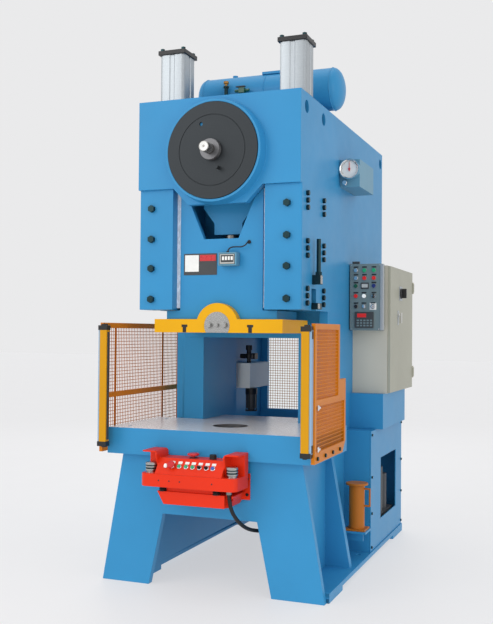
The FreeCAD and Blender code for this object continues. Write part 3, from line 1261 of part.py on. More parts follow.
# ---- small fixed pieces --------------------------------------------------
def air_unit():
    """Lubricator box, regulator and bowl inside the left side plate."""
    right, ys, zs = AIR_BOX
    box = block((-inner_half(), right), ys, zs)
    x, y = AIR_VALVE_AT
    valve = rod(AIR_VALVE_R, V(x, y, zs[1]), AIR_VALVE_H, Z_AXIS)
    arm = block((x - 60, x + 20), (y - 15, y + 15), (zs[1] + 25, zs[1] + 55))
    bowl = rod(AIR_BOWL_R, V(*AIR_BOWL_AT, zs[0] - AIR_BOWL_DROP), AIR_BOWL_DROP, Z_AXIS)
    return join(box, valve, arm, bowl)


def safety_block():
    """Die safety block: post with two flanges and a side handle."""
    x, y, low, high = BLOCK_X, BLOCK_Y, SHELF_TOP, SHELF_TOP + BLOCK_H
    post = rod(BLOCK_R, V(x, y, low), BLOCK_H, Z_AXIS)
    head = rod(BLOCK_HEAD_R, V(x, y, high - 12), 12, Z_AXIS)
    half = BLOCK_FOOT_HALF
    foot = block((x - half, x + half), (y - half, y + half), (low, low + 10))
    bail = block((x + 40, x + 84), (y - 6, y + 6), (high - 140, high - 28))
    bail = bail.cut(block((x + 46, x + 74), (y - 6, y + 6), (high - 130, high - 38)))
    return join(post, head, foot, bail)


def block_shelf():
    """Shelf bracket on the right side plate for the safety block."""
    low = SHELF_TOP - SHELF_T
    plate = block((FRAME_HALF, FRAME_HALF + SHELF_REACH), SHELF_Y, (low, SHELF_TOP))
    middle = sum(SHELF_Y) / 2
    web = block((FRAME_HALF, FRAME_HALF + SHELF_REACH - 30), (middle - 6, middle + 6),
                (low - 54, low))
    return join(plate, web)


def bolt_set():
    """Hexagon heads of the guides, the gib adjusters, the guards and the covers."""
    bolts = []
    for side in (-1, 1):
        outward = V(side, 0, 0)
        for z in GUIDE_BOLT_Z:
            bolts.append(hex_bolt(36, 22, V(side * GUIDE_BOLT_X, GUIDE_FRONT, z), V(0, -1, 0)))
        for y in GIB_BOLT_Y:
            for row in GIB_BOLT_Z:
                for step in (-GIB_BOLT_STEP, 0, GIB_BOLT_STEP):
                    start = V(side * FRAME_HALF, y, row + step)
                    bolts.append(hex_bolt(26, 16, start, outward))
        for i in range(4):
            start = V(side * (TABLE_HALF + GUARD_T), GUARD_BOLT_START + GUARD_BOLT_PITCH * i,
                      GUARD_BOTTOM + 25)
            bolts.append(hex_bolt(18, 9, start, outward))
    xs, ys, zs = REAR_BOX
    for z in (zs[0] + 25, 280, 500, zs[1] - 25):
        for y in (ys[0] + 20, ys[1] - 20):
            bolts.append(hex_bolt(14, 8, V(xs[1] + COVER_T, y, z), X_AXIS))
    return group(bolts)


def build_drive():
    save("guide_housings", both(guide_housing()))
    save("gibs", both(gib()))
    save("crankshaft", crankshaft())
    save("crank_disc", crank_disc())
    save("main_gear", main_gear())
    save("bearing_bushes", bearing_bushes())
    save("connecting_rod", connecting_rod())
    save("ball_screw", ball_screw())
    save("pinion_shaft", pinion_shaft())
    save("flywheel", flywheel())
    save("clutch_brake", clutch_brake())
    save("main_motor", main_motor())
    save("motor_pulley", motor_pulley())
    save("drive_belts", drive_belts())


def build_slide():
    save("slide_body", slide_body())
    save("slide_flange", slide_flange())
    save("shank_clamp", shank_clamp())
    save("indicator_box", indicator_box())
    save("balance_rods", balance_rods())
    save("knockout_bar", knockout_bar())
    save("knockout_stops", both(knockout_stop()))


def build_top():
    save("balance_cylinders", group([balance_cylinder(x) for x in (-BALANCE_X, BALANCE_X)]))
    save("air_tank", air_tank())
    save("gauge_box", group([block(*GAUGE_BOX), pressure_gauge()]))
    save("gauge_needle", gauge_needle())
    save("regulator_knob", regulator_knob())


def build_electrics():
    save("cabinet_body", cabinet_body())
    save("cabinet_door", cabinet_door())
    save("main_switch", main_switch())
    save("door_lock", door_lock())
    save("panel_box", panel_box())
    save("panel_controls", panel_controls())
    save("panel_selector", panel_selector())
    save("panel_key_switch", key_switch())
    save("side_boxes", group([rear_box(), shell(*BRACKET_BOX, BOX_SKIN)]))
    save("rear_box_cover", rear_box_cover())
    save("pump_unit", pump_unit())


def build_front():
    right = guard_frame(RIGHT_REAR_LOW, RIGHT_REAR_HIGH)
    left = mirrored(guard_frame(LEFT_REAR, LEFT_REAR))
    save("guard_frames", group([right, left]))
    save("guard_meshes", guard_meshes())
    save("light_curtains", both(light_curtain()))
    save("console_housing", console_housing())
    save("console_stand", console_stand())
    save("console_controls", console_controls())
    save("palm_button_left", palm_button(-1))
    save("palm_button_right", palm_button(1))
    save("emergency_stop", emergency_stop())
    save("console_hose", bent_tube(HOSE, HOSE_R))
    save("hose_glands", hose_glands())
    save("air_unit", air_unit())
    save("safety_block", safety_block())
    save("bolt_set", bolt_set())


def main():
    build_frame()
    build_drive()
    build_slide()
    build_top()
    build_electrics()
    build_front()
    os.makedirs("parts", exist_ok=True)
    for name, shape in NODES.items():
        shape.exportStep(f"parts/{name}.step")
    print(len(NODES), "nodes; origin shift", ORIGIN)


main()
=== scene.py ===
import json
import math
import bmesh
import bpy
from mathutils import Matrix, Vector
from mathutils.bvhtree import BVHTree

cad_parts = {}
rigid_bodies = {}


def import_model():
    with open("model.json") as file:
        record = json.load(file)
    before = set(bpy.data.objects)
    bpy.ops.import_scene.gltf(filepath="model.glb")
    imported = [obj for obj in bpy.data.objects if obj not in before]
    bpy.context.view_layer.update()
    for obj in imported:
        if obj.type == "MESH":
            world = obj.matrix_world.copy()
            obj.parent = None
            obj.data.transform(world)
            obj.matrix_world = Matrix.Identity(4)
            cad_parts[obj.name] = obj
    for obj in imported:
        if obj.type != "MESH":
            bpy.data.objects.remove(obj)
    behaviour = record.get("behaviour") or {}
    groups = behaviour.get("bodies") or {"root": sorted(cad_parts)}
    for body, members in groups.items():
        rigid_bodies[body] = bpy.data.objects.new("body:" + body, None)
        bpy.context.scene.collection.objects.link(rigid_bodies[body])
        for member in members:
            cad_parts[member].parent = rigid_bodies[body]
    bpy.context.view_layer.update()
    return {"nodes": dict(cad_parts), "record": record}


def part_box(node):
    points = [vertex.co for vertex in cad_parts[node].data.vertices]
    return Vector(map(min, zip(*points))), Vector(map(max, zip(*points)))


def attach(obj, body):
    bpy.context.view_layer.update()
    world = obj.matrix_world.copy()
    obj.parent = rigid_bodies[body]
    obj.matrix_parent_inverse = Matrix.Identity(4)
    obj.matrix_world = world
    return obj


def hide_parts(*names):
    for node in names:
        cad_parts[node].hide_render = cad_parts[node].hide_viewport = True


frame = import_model()
nodes = frame["nodes"]
mounts = {mount["name"]: mount for mount in frame["record"]["mounts"]}

# The ram axis stands on the table hole's axis; mm() turns millimetres from it into metres in
# the shared frame.
RAM = Vector((mounts["table_hole"]["pos_m"][0], mounts["table_hole"]["pos_m"][1], 0))
X, Y, Z = Vector((1, 0, 0)), Vector((0, 1, 0)), Vector((0, 0, 1))
CRANK_Z = 2355              # height of the crank's axis
SEAM = 0.0002               # an edge this near another plate, in metres, is welded to it
CRISP = math.radians(32)    # edges sharper than this stay crisp or get a rounded edge


def mm(x, y, z):
    return RAM + Vector((x, y, z)) / 1000


def node_mm(name):
    """Lowest and highest corner of a CAD node in millimetres from the ram axis."""
    low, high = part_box(name)
    return (low - RAM) * 1000, (high - RAM) * 1000


# ---- materials -----------------------------------------------------------
def linear(red, green, blue):
    """Linear colour of an 8-bit screen colour."""
    def channel(value):
        value /= 255
        return value / 12.92 if value <= 0.04045 else ((value + 0.055) / 1.055) ** 2.4
    return channel(red), channel(green), channel(blue), 1.0


class Paint:
    """Small helper that wires a Principled shader with procedural detail."""

    def __init__(self, name, color, rough, metal=0.0):
        self.material = bpy.data.materials.new(name)
        self.material.use_nodes = True
        self.tree = self.material.node_tree
        self.shader = self.tree.nodes["Principled BSDF"]
        self.shader.inputs["Base Color"].default_value = color
        self.shader.inputs["Roughness"].default_value = rough
        self.shader.inputs["Metallic"].default_value = metal
        self.color, self.rough = color, rough
        self.coords = self.add("ShaderNodeTexCoord")

    def add(self, kind):
        return self.tree.nodes.new(kind)

    def link(self, source, target):
        self.tree.links.new(source, target)

    def noise(self, scale, detail=4, stretch=(1, 1, 1)):
        mapping = self.add("ShaderNodeMapping")
        mapping.inputs["Scale"].default_value = stretch
        self.link(self.coords.outputs["Object"], mapping.inputs["Vector"])
        noise = self.add("ShaderNodeTexNoise")
        noise.inputs["Scale"].default_value = scale
        noise.inputs["Detail"].default_value = detail
        self.link(mapping.outputs["Vector"], noise.inputs["Vector"])
        return noise.outputs["Fac"]

    def vary_color(self, fac, dark=0.9, light=1.06, low=0.3, high=0.7):
        ramp = self.add("ShaderNodeValToRGB")
        ramp.color_ramp.elements[0].position = low
        ramp.color_ramp.elements[1].position = high
        ramp.color_ramp.elements[0].color = [c * dark for c in self.color[:3]] + [1]
        ramp.color_ramp.elements[1].color = [min(1, c * light) for c in self.color[:3]] + [1]
        self.link(fac, ramp.inputs["Fac"])
        self.link(ramp.outputs["Color"], self.shader.inputs["Base Color"])
        return self

    def vary_rough(self, fac, spread):
        span = self.add("ShaderNodeMapRange")
        span.inputs["To Min"].default_value = max(0.02, self.rough - spread)
        span.inputs["To Max"].default_value = min(1, self.rough + spread)
        self.link(fac, span.inputs["Value"])
        self.link(span.outputs["Result"], self.shader.inputs["Roughness"])
        return self

    def bump(self, fac, strength, distance=0.001):
        bump = self.add("ShaderNodeBump")
        bump.inputs["Strength"].default_value = strength
        bump.inputs["Distance"].default_value = distance
        self.link(fac, bump.inputs["Height"])
        self.link(bump.outputs["Normal"], self.shader.inputs["Normal"])
        return self

    def coat(self, weight, rough=0.15):
        self.shader.inputs["Coat Weight"].default_value = weight
        self.shader.inputs["Coat Roughness"].default_value = rough
        return self


def enamel(name, color, rough=0.42, peel=0.12, coat=0.05):
    """Sprayed machine enamel: faint orange peel, slow colour drift and a clear gloss."""
    paint = Paint(name, color, rough)
    paint.vary_color(paint.noise(2.3, 5), 0.94, 1.04)
    paint.vary_rough(paint.noise(9, 3), 0.06)
    paint.bump(paint.noise(260, 2), peel, 0.0006)
    paint.shader.inputs["Specular IOR Level"].default_value = 0.22
    return paint.coat(coat, 0.2).material


def metal(name, color, rough=0.3, stretch=(1, 1, 1), scale=90, bump=0.15, metallic=1.0):
    """Machined or ground metal: stretched noise gives the tool marks."""
    paint = Paint(name, color, rough, metallic)
    marks = paint.noise(scale, 3, stretch)
    paint.vary_color(marks, 0.86, 1.08)
    paint.vary_rough(marks, 0.09)
    return paint.bump(marks, bump, 0.0004).material


def plastic(name, color, rough=0.4, grain=0.1):
    paint = Paint(name, color, rough)
    paint.vary_color(paint.noise(30, 2), 0.95, 1.04)
    paint.vary_rough(paint.noise(60, 2), 0.05)
    return paint.bump(paint.noise(900, 1), grain, 0.0003).material


def lamp(name, color, glow=0.4):
    """Coloured lens with a faint light of its own."""
    paint = Paint(name, color, 0.32)
    paint.vary_color(paint.noise(200, 1), 0.9, 1.1)
    paint.shader.inputs["Emission Color"].default_value = color
    paint.shader.inputs["Emission Strength"].default_value = glow
    return paint.coat(0.1, 0.1).material


def turned(name, color, rough, centre):
    """Face-turned metal: fine rings round a centre in the XZ plane."""
    paint = Paint(name, color, rough, 0.75)
    mapping = paint.add("ShaderNodeMapping")
    mapping.inputs["Location"].default_value = [-c for c in centre]
    paint.link(paint.coords.outputs["Object"], mapping.inputs["Vector"])
    flat = paint.add("ShaderNodeVectorMath")
    flat.operation = "MULTIPLY"
    flat.inputs[1].default_value = (1, 0, 1)
    paint.link(mapping.outputs["Vector"], flat.inputs[0])
    length = paint.add("ShaderNodeVectorMath")
    length.operation = "LENGTH"
    paint.link(flat.outputs["Vector"], length.inputs[0])
    wave = paint.add("ShaderNodeTexNoise")
    wave.noise_dimensions = "1D"
    wave.inputs["Scale"].default_value = 420
    wave.inputs["Detail"].default_value = 2
    paint.link(length.outputs["Value"], wave.inputs["W"])
    paint.vary_color(wave.outputs["Fac"], 0.82, 1.12)
    paint.vary_rough(wave.outputs["Fac"], 0.08)
    return paint.bump(wave.outputs["Fac"], 0.25, 0.0004).material


BLUE = enamel("blue_enamel", linear(52, 139, 190), 0.4, 0.12)
YELLOW = enamel("yellow_enamel", linear(226, 166, 0))
POST_YELLOW = enamel("post_yellow_enamel", linear(200, 142, 2))
ORANGE = enamel("orange_enamel", linear(200, 116, 8))
SAFETY = enamel("safety_block_enamel", linear(176, 104, 30), 0.45)
GUARD_WIRE = enamel("guard_wire_enamel", linear(206, 120, 10), 0.5, 0.05)
# Darker copy of the wire orange as painted shade, for the left guard's and the rear window's wires,
# which stand in shade.
SHADED_WIRE = enamel("wire_orange_enamel", linear(182, 100, 16), 0.5, 0.05)
RED = enamel("console_red_enamel", linear(218, 46, 14))
BEIGE = enamel("cabinet_powder_coat", linear(198, 194, 180), 0.5, 0.3)
DOOR_BEIGE = enamel("door_powder_coat", linear(166, 166, 152), 0.5, 0.3)
SLATE = enamel("panel_powder_coat", linear(112, 130, 134), 0.5, 0.3, 0.05)
GAUGE_BLUE = enamel("gauge_case_enamel", linear(96, 146, 170), 0.4)
# Painted light: the air box's grey is set lighter than its own tone to make up for the shade it
# stands in.
LIGHTENED_AIR_GREY = enamel("air_box_enamel", linear(226, 230, 228), 0.45)
GREY_BLUE = enamel("curtain_side_enamel", linear(140, 172, 200), 0.4)
GROUND = metal("ground_steel", linear(226, 232, 240), 0.26, (3, 160, 1), 30, 0.1, 0.15)
BRIGHT = metal("bright_steel", linear(176, 176, 174), 0.26, (1, 1, 40), 60, 0.08)
TURNED = metal("turned_steel", linear(142, 140, 136), 0.34, (1, 60, 1), 90)
FORGED = metal("forged_steel", linear(120, 120, 122), 0.45, (1, 1, 1), 40, 0.3)
BLACKED = metal("blacked_steel", linear(44, 66, 70), 0.36, (1, 1, 1), 120, 0.2)
CAST = metal("cast_iron", linear(84, 84, 86), 0.55, (1, 1, 1), 160, 0.5)
BRONZE = metal("bronze", linear(176, 132, 74), 0.3, (1, 40, 1), 60)
PROFILE = metal("anodised_profile", linear(178, 184, 188), 0.42, (1, 1, 30), 50, 0.06, 0.8)
CHROME = metal("chrome", linear(232, 232, 234), 0.08, (1, 1, 1), 20, 0.02)
BLACK = plastic("black_plastic", linear(24, 24, 26))
RUBBER = plastic("black_rubber", linear(14, 14, 15), 0.55, 0.3)
WHITE = plastic("white_plastic", linear(232, 232, 228), 0.35)
LIGHT_GREY = plastic("light_grey_plastic", linear(186, 188, 184), 0.45, 0.25)
DARK_GREY = plastic("dark_grey_plastic", linear(58, 60, 62), 0.45)
GREEN = lamp("green_lens", linear(30, 150, 104), 0.15)
RED_LENS = lamp("red_lens", linear(206, 30, 28), 0.15)
GLOWING_DARK_GREEN = lamp("dark_green_lens", linear(16, 84, 60), 0.05)
DARK_BLUE = lamp("dark_blue_lens", linear(26, 44, 110), 0.05)
BLUE_KEY = plastic("blue_key", linear(52, 92, 176), 0.3)
STOP_RED = plastic("stop_red", linear(196, 34, 40), 0.28)
WHITE_LENS = lamp("white_lens", linear(240, 240, 236), 0.2)
DISPLAY = lamp("red_display", linear(150, 18, 16), 0.9)
MOTOR = enamel("motor_grey_enamel", linear(74, 78, 82), 0.45, 0.3, 0.1)
DISC = turned("turned_dark_disc", linear(58, 62, 65), 0.5,
              (RAM.x, RAM.y, (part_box("crank_disc")[0].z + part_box("crank_disc")[1].z) / 2))


# ---- mesh helpers --------------------------------------------------------
def box_faces(bm, low, high):
    """Closed box between two points given in metres."""
    middle, size = (low + high) / 2, high - low
    scale = Matrix.Diagonal((abs(size.x), abs(size.y), abs(size.z), 1))
    bmesh.ops.create_cube(bm, size=1, matrix=Matrix.Translation(middle) @ scale)


def turn_matrix(start, axis):
    """Frame whose Z runs along axis from start."""
    turn = axis.normalized().to_track_quat("Z", "Y").to_matrix().to_4x4()
    return Matrix.Translation(start) @ turn


def lathe(bm, start, axis, profile, steps=32):
    """Closed solid of revolution from (radius, height) pairs in millimetres."""
    place = turn_matrix(start, axis)
    rings = []
    for radius, height in profile:
        if radius < 1e-6:
            rings.append([bm.verts.new(place @ Vector((0, 0, height / 1000)))])
            continue
        ring = []
        for i in range(steps):
            angle = 2 * math.pi * i / steps
            point = Vector((radius * math.cos(angle), radius * math.sin(angle), height)) / 1000
            ring.append(bm.verts.new(place @ point))
        rings.append(ring)
    for low, high in zip(rings, rings[1:]):
        for i in range(steps):
            j = (i + 1) % steps
            if len(low) == 1:
                bm.faces.new((low[0], high[j], high[i]))
            elif len(high) == 1:
                bm.faces.new((low[i], low[j], high[0]))
            else:
                bm.faces.new((low[i], low[j], high[j], high[i]))


def close_ring(bm, steps, rows):
    """Joins the first and last rings of a lathe profile that has a hole."""
    bm.verts.ensure_lookup_table()
    verts = bm.verts[-steps * rows:]
    first, last = verts[:steps], verts[-steps:]
    for i in range(steps):
        j = (i + 1) % steps
        bm.faces.new((last[i], last[j], first[j], first[i]))


def bar(bm, start, end, radius, steps=16):
    """Closed round bar between two points in metres; radius in millimetres."""
    length = (end - start).length * 1000
    lathe(bm, start, end - start, [(0, 0), (radius, 0), (radius, length), (0, length)], steps)


def prism(bm, points, offset):
    """Closed prism of an outline pushed along offset."""
    near = [bm.verts.new(point) for point in points]
    far = [bm.verts.new(point + offset) for point in points]
    bm.faces.new(near)
    bm.faces.new(list(reversed(far)))
    for i in range(len(points)):
        j = (i + 1) % len(points)
        bm.faces.new((near[i], far[i], far[j], near[j]))


def hexagon(bm, centre, axis, across, height):
    place = turn_matrix(centre, axis)
    radius = across / math.sqrt(3)
    corners = [place @ Vector((radius * math.cos(math.pi * i / 3) / 1000,
                               radius * math.sin(math.pi * i / 3) / 1000, 0)) for i in range(6)]
    prism(bm, corners, axis.normalized() * height / 1000)


def piece(name, bm, material, body, bevel=0.0, replaced=(), segments=2):
    """Object from a bmesh, riding on a body, with rounded edges."""
    bmesh.ops.recalc_face_normals(bm, faces=bm.faces)
    mesh = bpy.data.meshes.new(name)
    bm.to_mesh(mesh)
    bm.free()
    made = bpy.data.objects.new(name, mesh)
    bpy.context.scene.collection.objects.link(made)
    mesh.materials.append(material)
    soften(made, bevel, segments)
    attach(made, body)
    if replaced:
        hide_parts(*replaced)
    return made


def soften(made, bevel, segments=2):
    """Smooth shading with crisp corners, and a rounded edge of bevel millimetres."""
    made.data.polygons.foreach_set("use_smooth", [True] * len(made.data.polygons))
    if bevel:
        modifier = made.modifiers.new("edges", "BEVEL")
        modifier.width = bevel / 1000
        modifier.segments = segments
        modifier.limit_method = "ANGLE"
        modifier.angle_limit = CRISP
        modifier.use_clamp_overlap = True
        weighted = made.modifiers.new("normals", "WEIGHTED_NORMAL")
        weighted.keep_sharp = True
        weighted.weight = 80
    else:
        made.data.set_sharp_from_angle(angle=CRISP)


def block_piece(name, low, high, material, body, bevel=0.0, replaced=()):
    """Box between two points in metres, as a piece of its own."""
    bm = bmesh.new()
    box_faces(bm, low, high)
    return piece(name, bm, material, body, bevel, replaced)


def tube(name, route, radius, material, body, steps=12, rounding=4, caps=False):
    """Round cord of a radius in metres along a smooth curve past the route's points."""
    curve = bpy.data.curves.new(name, "CURVE")
    curve.dimensions = "3D"
    spline = curve.splines.new("NURBS")
    spline.points.add(len(route) - 1)
    for point, place in zip(spline.points, route):
        point.co = (*place, 1)
    spline.order_u = 3
    spline.use_endpoint_u = True
    spline.resolution_u = steps
    curve.bevel_depth = radius
    curve.bevel_resolution = rounding
    curve.use_fill_caps = caps
    curve.materials.append(material)
    made = bpy.data.objects.new(name, curve)
    bpy.context.scene.collection.objects.link(made)
    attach(made, body)
    return made


def body_of_node(name):
    return nodes[name].parent.name.split(":", 1)[1]


def surface_of(name):
    mesh = nodes[name].data
    return BVHTree.FromPolygons([v.co for v in mesh.vertices],
                                [list(face.vertices) for face in mesh.polygons])


def mark_free_edges(bm, neighbours):
    """Bevel weight 1 on edges that lie on none of the neighbours, so flush joints vanish."""
    weight = bm.edges.layers.float.new("bevel_weight_edge")
    for edge in bm.edges:
        middle = (edge.verts[0].co + edge.verts[1].co) / 2
        joined = any(tree.find_nearest(middle, SEAM)[0] is not None for tree in neighbours)
        edge[weight] = 0.0 if joined else 1.0
        edge.smooth = not joined


def refine(name, material, bevel=2.0, top=None, neighbours=()):
    """The CAD node's own solid with rounded edges; top is an optional second finish.

    top is (material, test), and test picks faces by their centre and normal.
    """
    bm = bmesh.new()
    bm.from_mesh(nodes[name].data)
    bmesh.ops.remove_doubles(bm, verts=bm.verts, dist=1e-6)
    bmesh.ops.dissolve_limit(bm, angle_limit=math.radians(0.5), verts=bm.verts, edges=bm.edges)
    if top:
        for face in bm.faces:
            face.material_index = 1 if top[1](face.calc_center_median(), face.normal) else 0
    if neighbours:
        mark_free_edges(bm, neighbours)
    made = piece(name + "_finished", bm, material, body_of_node(name), bevel, (name,))
    if neighbours:
        made.modifiers["edges"].limit_method = "WEIGHT"
    if top:
        made.data.materials.append(top[0])
    return made


# ---- camera, lights, floor ----------------------------------------------
CAMERA_AT = (1913.3, -4676.2, 1382.3)
CAMERA_YAW, CAMERA_PITCH, CAMERA_ROLL = 21.2915, 1.2495, 0.46234
CAMERA_LENS, SENSOR_WIDTH = 51.53, 36

FLOOR_SIZE = 40
FLOOR_PAINT, FLOOR_GLOW = (0.26, 0.26, 0.264, 1), 0.66
BACKDROP = (0.823, 0.823, 0.831, 1)

# Place and target in millimetres from the ram axis, size in metres, power in watts, and
# whether the light shows in reflections.
MIDDLE = (0, 400, 1400)
LIGHTS = [
    ("key", (-3600, -5600, 4600), MIDDLE, (4.0, 4.0), 112, True),
    ("fill", (5600, -2600, 2600), MIDDLE, (4.0, 4.0), 60, True),
    ("top", (0, 300, 7000), MIDDLE, (4.0, 4.0), 50, True),
    ("back", (-2500, 6500, 4000), MIDDLE, (4.0, 3.0), 60, True),
    ("front", (500, -4300, 900), (0, 0, 1100), (1.8, 1.2), 34, False),
]


def add_camera():
    """Camera at the operator's right, slightly above the table's height."""
    yaw, pitch, roll = (math.radians(a) for a in (CAMERA_YAW, CAMERA_PITCH, CAMERA_ROLL))
    ahead = Vector((-math.sin(yaw) * math.cos(pitch), math.cos(yaw) * math.cos(pitch),
                    math.sin(pitch)))
    right = Vector((math.cos(yaw), math.sin(yaw), 0))
    upward = right.cross(ahead)
    tilted = right * math.cos(roll) + upward * math.sin(roll)
    upward = upward * math.cos(roll) - right * math.sin(roll)
    data = bpy.data.cameras.new("camera")
    data.sensor_width = SENSOR_WIDTH
    data.lens = CAMERA_LENS
    data.clip_end = 60
    camera = bpy.data.objects.new("camera", data)
    camera.matrix_world = Matrix.Translation(mm(*CAMERA_AT)) @ Matrix(
        (tilted, upward, -ahead)).transposed().to_4x4()
    bpy.context.scene.collection.objects.link(camera)
    bpy.context.scene.camera = camera


def area_light(name, place, target, size, power, glossy):
    data = bpy.data.lights.new(name, "AREA")
    data.shape = "RECTANGLE"
    data.size, data.size_y = size
    data.energy = power
    light = bpy.data.objects.new(name, data)
    aim = (target - place).to_track_quat("-Z", "Y")
    light.matrix_world = Matrix.Translation(place) @ aim.to_matrix().to_4x4()
    light.visible_glossy = glossy
    bpy.context.scene.collection.objects.link(light)


def add_studio():
    bm = bmesh.new()
    bmesh.ops.create_grid(bm, x_segments=2, y_segments=2, size=FLOOR_SIZE)
    floor_mesh = bpy.data.meshes.new("floor")
    bm.to_mesh(floor_mesh)
    bm.free()
    floor = bpy.data.objects.new("floor", floor_mesh)
    paint = Paint("studio_floor", FLOOR_PAINT, 0.6)
    paint.shader.inputs["Specular IOR Level"].default_value = 0.2
    paint.shader.inputs["Emission Color"].default_value = BACKDROP
    paint.shader.inputs["Emission Strength"].default_value = FLOOR_GLOW
    paint.vary_rough(paint.noise(3, 2), 0.04)
    floor_mesh.materials.append(paint.material)
    bpy.context.scene.collection.objects.link(floor)
    world = bpy.data.worlds.new("studio")
    world.use_nodes = True
    background = world.node_tree.nodes["Background"]
    background.inputs["Color"].default_value = BACKDROP
    background.inputs["Strength"].default_value = 1.0
    bpy.context.scene.world = world
    for name, place, target, size, power, glossy in LIGHTS:
        area_light(name, mm(*place), mm(*target), size, power, glossy)
    bpy.context.scene.view_settings.view_transform = "Standard"


# ---- pieces carried over from the CAD with rounded edges ----------------
def finish_frame():
    welded = ("side_plate_left", "side_plate_right", "head_front_plate", "inner_frame",
              "top_and_rear_plate", "throat_columns", "front_leg_plate", "side_feet",
              "side_boxes", "guide_housings")
    surfaces = {name: surface_of(name) for name in welded}
    for name in welded:
        refine(name, BLUE, 2.5,
               neighbours=[tree for other, tree in surfaces.items() if other != name])
    refine("slide_body", BLUE, 2.5)
    refine("rear_box_cover", BLUE, 2.5)
    table_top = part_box("table")[1].z

    def ground(centre, normal):
        return normal.z > 0.7 and centre.z > table_top - 0.06

    def in_hole(centre, normal):
        return abs(normal.z) < 0.2 and (centre - RAM).xy.length < 0.2
    table = refine("table", BLUE, 2.0, (GROUND, ground))
    table.data.materials.append(FORGED)
    for face in table.data.polygons:
        if in_hole(face.center, face.normal):
            face.material_index = 2


def finish_mechanics():
    plain = {
        "gibs": GROUND, "crankshaft": TURNED, "crank_disc": DISC, "main_gear": FORGED,
        "bearing_bushes": BRONZE, "connecting_rod": BLUE, "ball_screw": TURNED,
        "pinion_shaft": TURNED, "flywheel": CAST, "clutch_brake": FORGED, "motor_pulley": CAST,
        "drive_belts": RUBBER, "knockout_bar": BLACKED, "knockout_stops": BLACKED,
        "bolt_set": BLACKED, "slide_flange": YELLOW, "balance_rods": BRIGHT,
        "main_motor": MOTOR, "pump_unit": MOTOR,
        "guard_frames": ORANGE, "console_housing": RED, "cabinet_body": BEIGE,
        "panel_box": SLATE, "gauge_box": GAUGE_BLUE, "hose_glands": TURNED, "air_tank": BLUE,
        "shank_clamp": BRIGHT,
    }
    for name, material in plain.items():
        refine(name, material, 1.2)


# ---- guards --------------------------------------------------------------
GUARD_BAR, GUARD_MID = 30, 1010
MESH_PITCH, WIRE_R = 19.0, 1.8
REAR_WINDOW = ((-379, 379), (807, 1335))


def wire_grid(bm, plane, depth, spans, radius=WIRE_R):
    """Welded mesh: crossing wires over a rectangle, one layer each side of depth.

    plane is "x" for a grid in YZ at X = depth, or "y" for a grid in XZ at Y = depth.
    """
    (u0, u1), (z0, z1) = spans

    def point(u, z, layer):
        d = depth + layer * radius
        return mm(d, u, z) if plane == "x" else mm(u, d, z)
    across = round((u1 - u0) / MESH_PITCH)
    upward = round((z1 - z0) / MESH_PITCH)
    for i in range(1, across):
        u = u0 + (u1 - u0) * i / across
        bar(bm, point(u, z0 - 4, -1), point(u, z1 + 4, -1), radius, 5)
    for i in range(1, upward):
        z = z0 + (z1 - z0) * i / upward
        bar(bm, point(u0 - 4, z, 1), point(u1 + 4, z, 1), radius, 5)


def guard_windows(front, rear_low, rear_high, bottom, top):
    """The lower and upper (Y, Z) windows of one guard frame."""
    low = ((front + GUARD_BAR, rear_low - GUARD_BAR), (bottom + 60, GUARD_MID))
    high = ((front + GUARD_BAR, rear_high - GUARD_BAR), (GUARD_MID + GUARD_BAR, top - GUARD_BAR))
    return low, high


def add_guard_meshes():
    low, high = node_mm("guard_frames")
    front, bottom, top = low.y, low.z, high.z
    bm, outer = bmesh.new(), bmesh.new()
    for window in guard_windows(front, 600, 600, bottom, top):
        wire_grid(bm, "x", 10 - high.x, window)
    for window in guard_windows(front, 195, 70, bottom, top):
        wire_grid(outer, "x", high.x - 10, window, 2.5)
    piece("guard_wire_mesh_right", outer, GUARD_WIRE, "frame", 0)
    for y in (-238, 353):
        box_faces(bm, mm(-high.x + 3, y - 6, bottom + 30), mm(-high.x + 8, y + 6, top - 15))
    wire_grid(bm, "y", 1669.5, REAR_WINDOW)
    # The left guard's and the rear window's wires take the darker orange of painted shade.
    piece("guard_wire_mesh", bm, SHADED_WIRE, "frame", 0, ("guard_meshes",))


def add_guard_latches():
    """Quarter-turn latches of the right guard's lower hatch, and its edge strips."""
    _, high = node_mm("guard_frames")
    bm = bmesh.new()
    for z in (1000, 790):
        lathe(bm, mm(high.x - 2, -340, z), X, [(0, 0), (15, 0), (15, 5), (11, 8), (0, 8)], 24)
        box_faces(bm, mm(high.x + 3, -362, z - 5), mm(high.x + 8, -318, z + 5))
    piece("guard_latches", bm, CHROME, "frame", 0.6)
    bm = bmesh.new()
    for z in (1012, 772):
        box_faces(bm, mm(high.x - 1, -310, z - 5), mm(high.x + 2, 150, z + 5))
    piece("guard_hatch_strips", bm, ORANGE, "frame", 0.8)


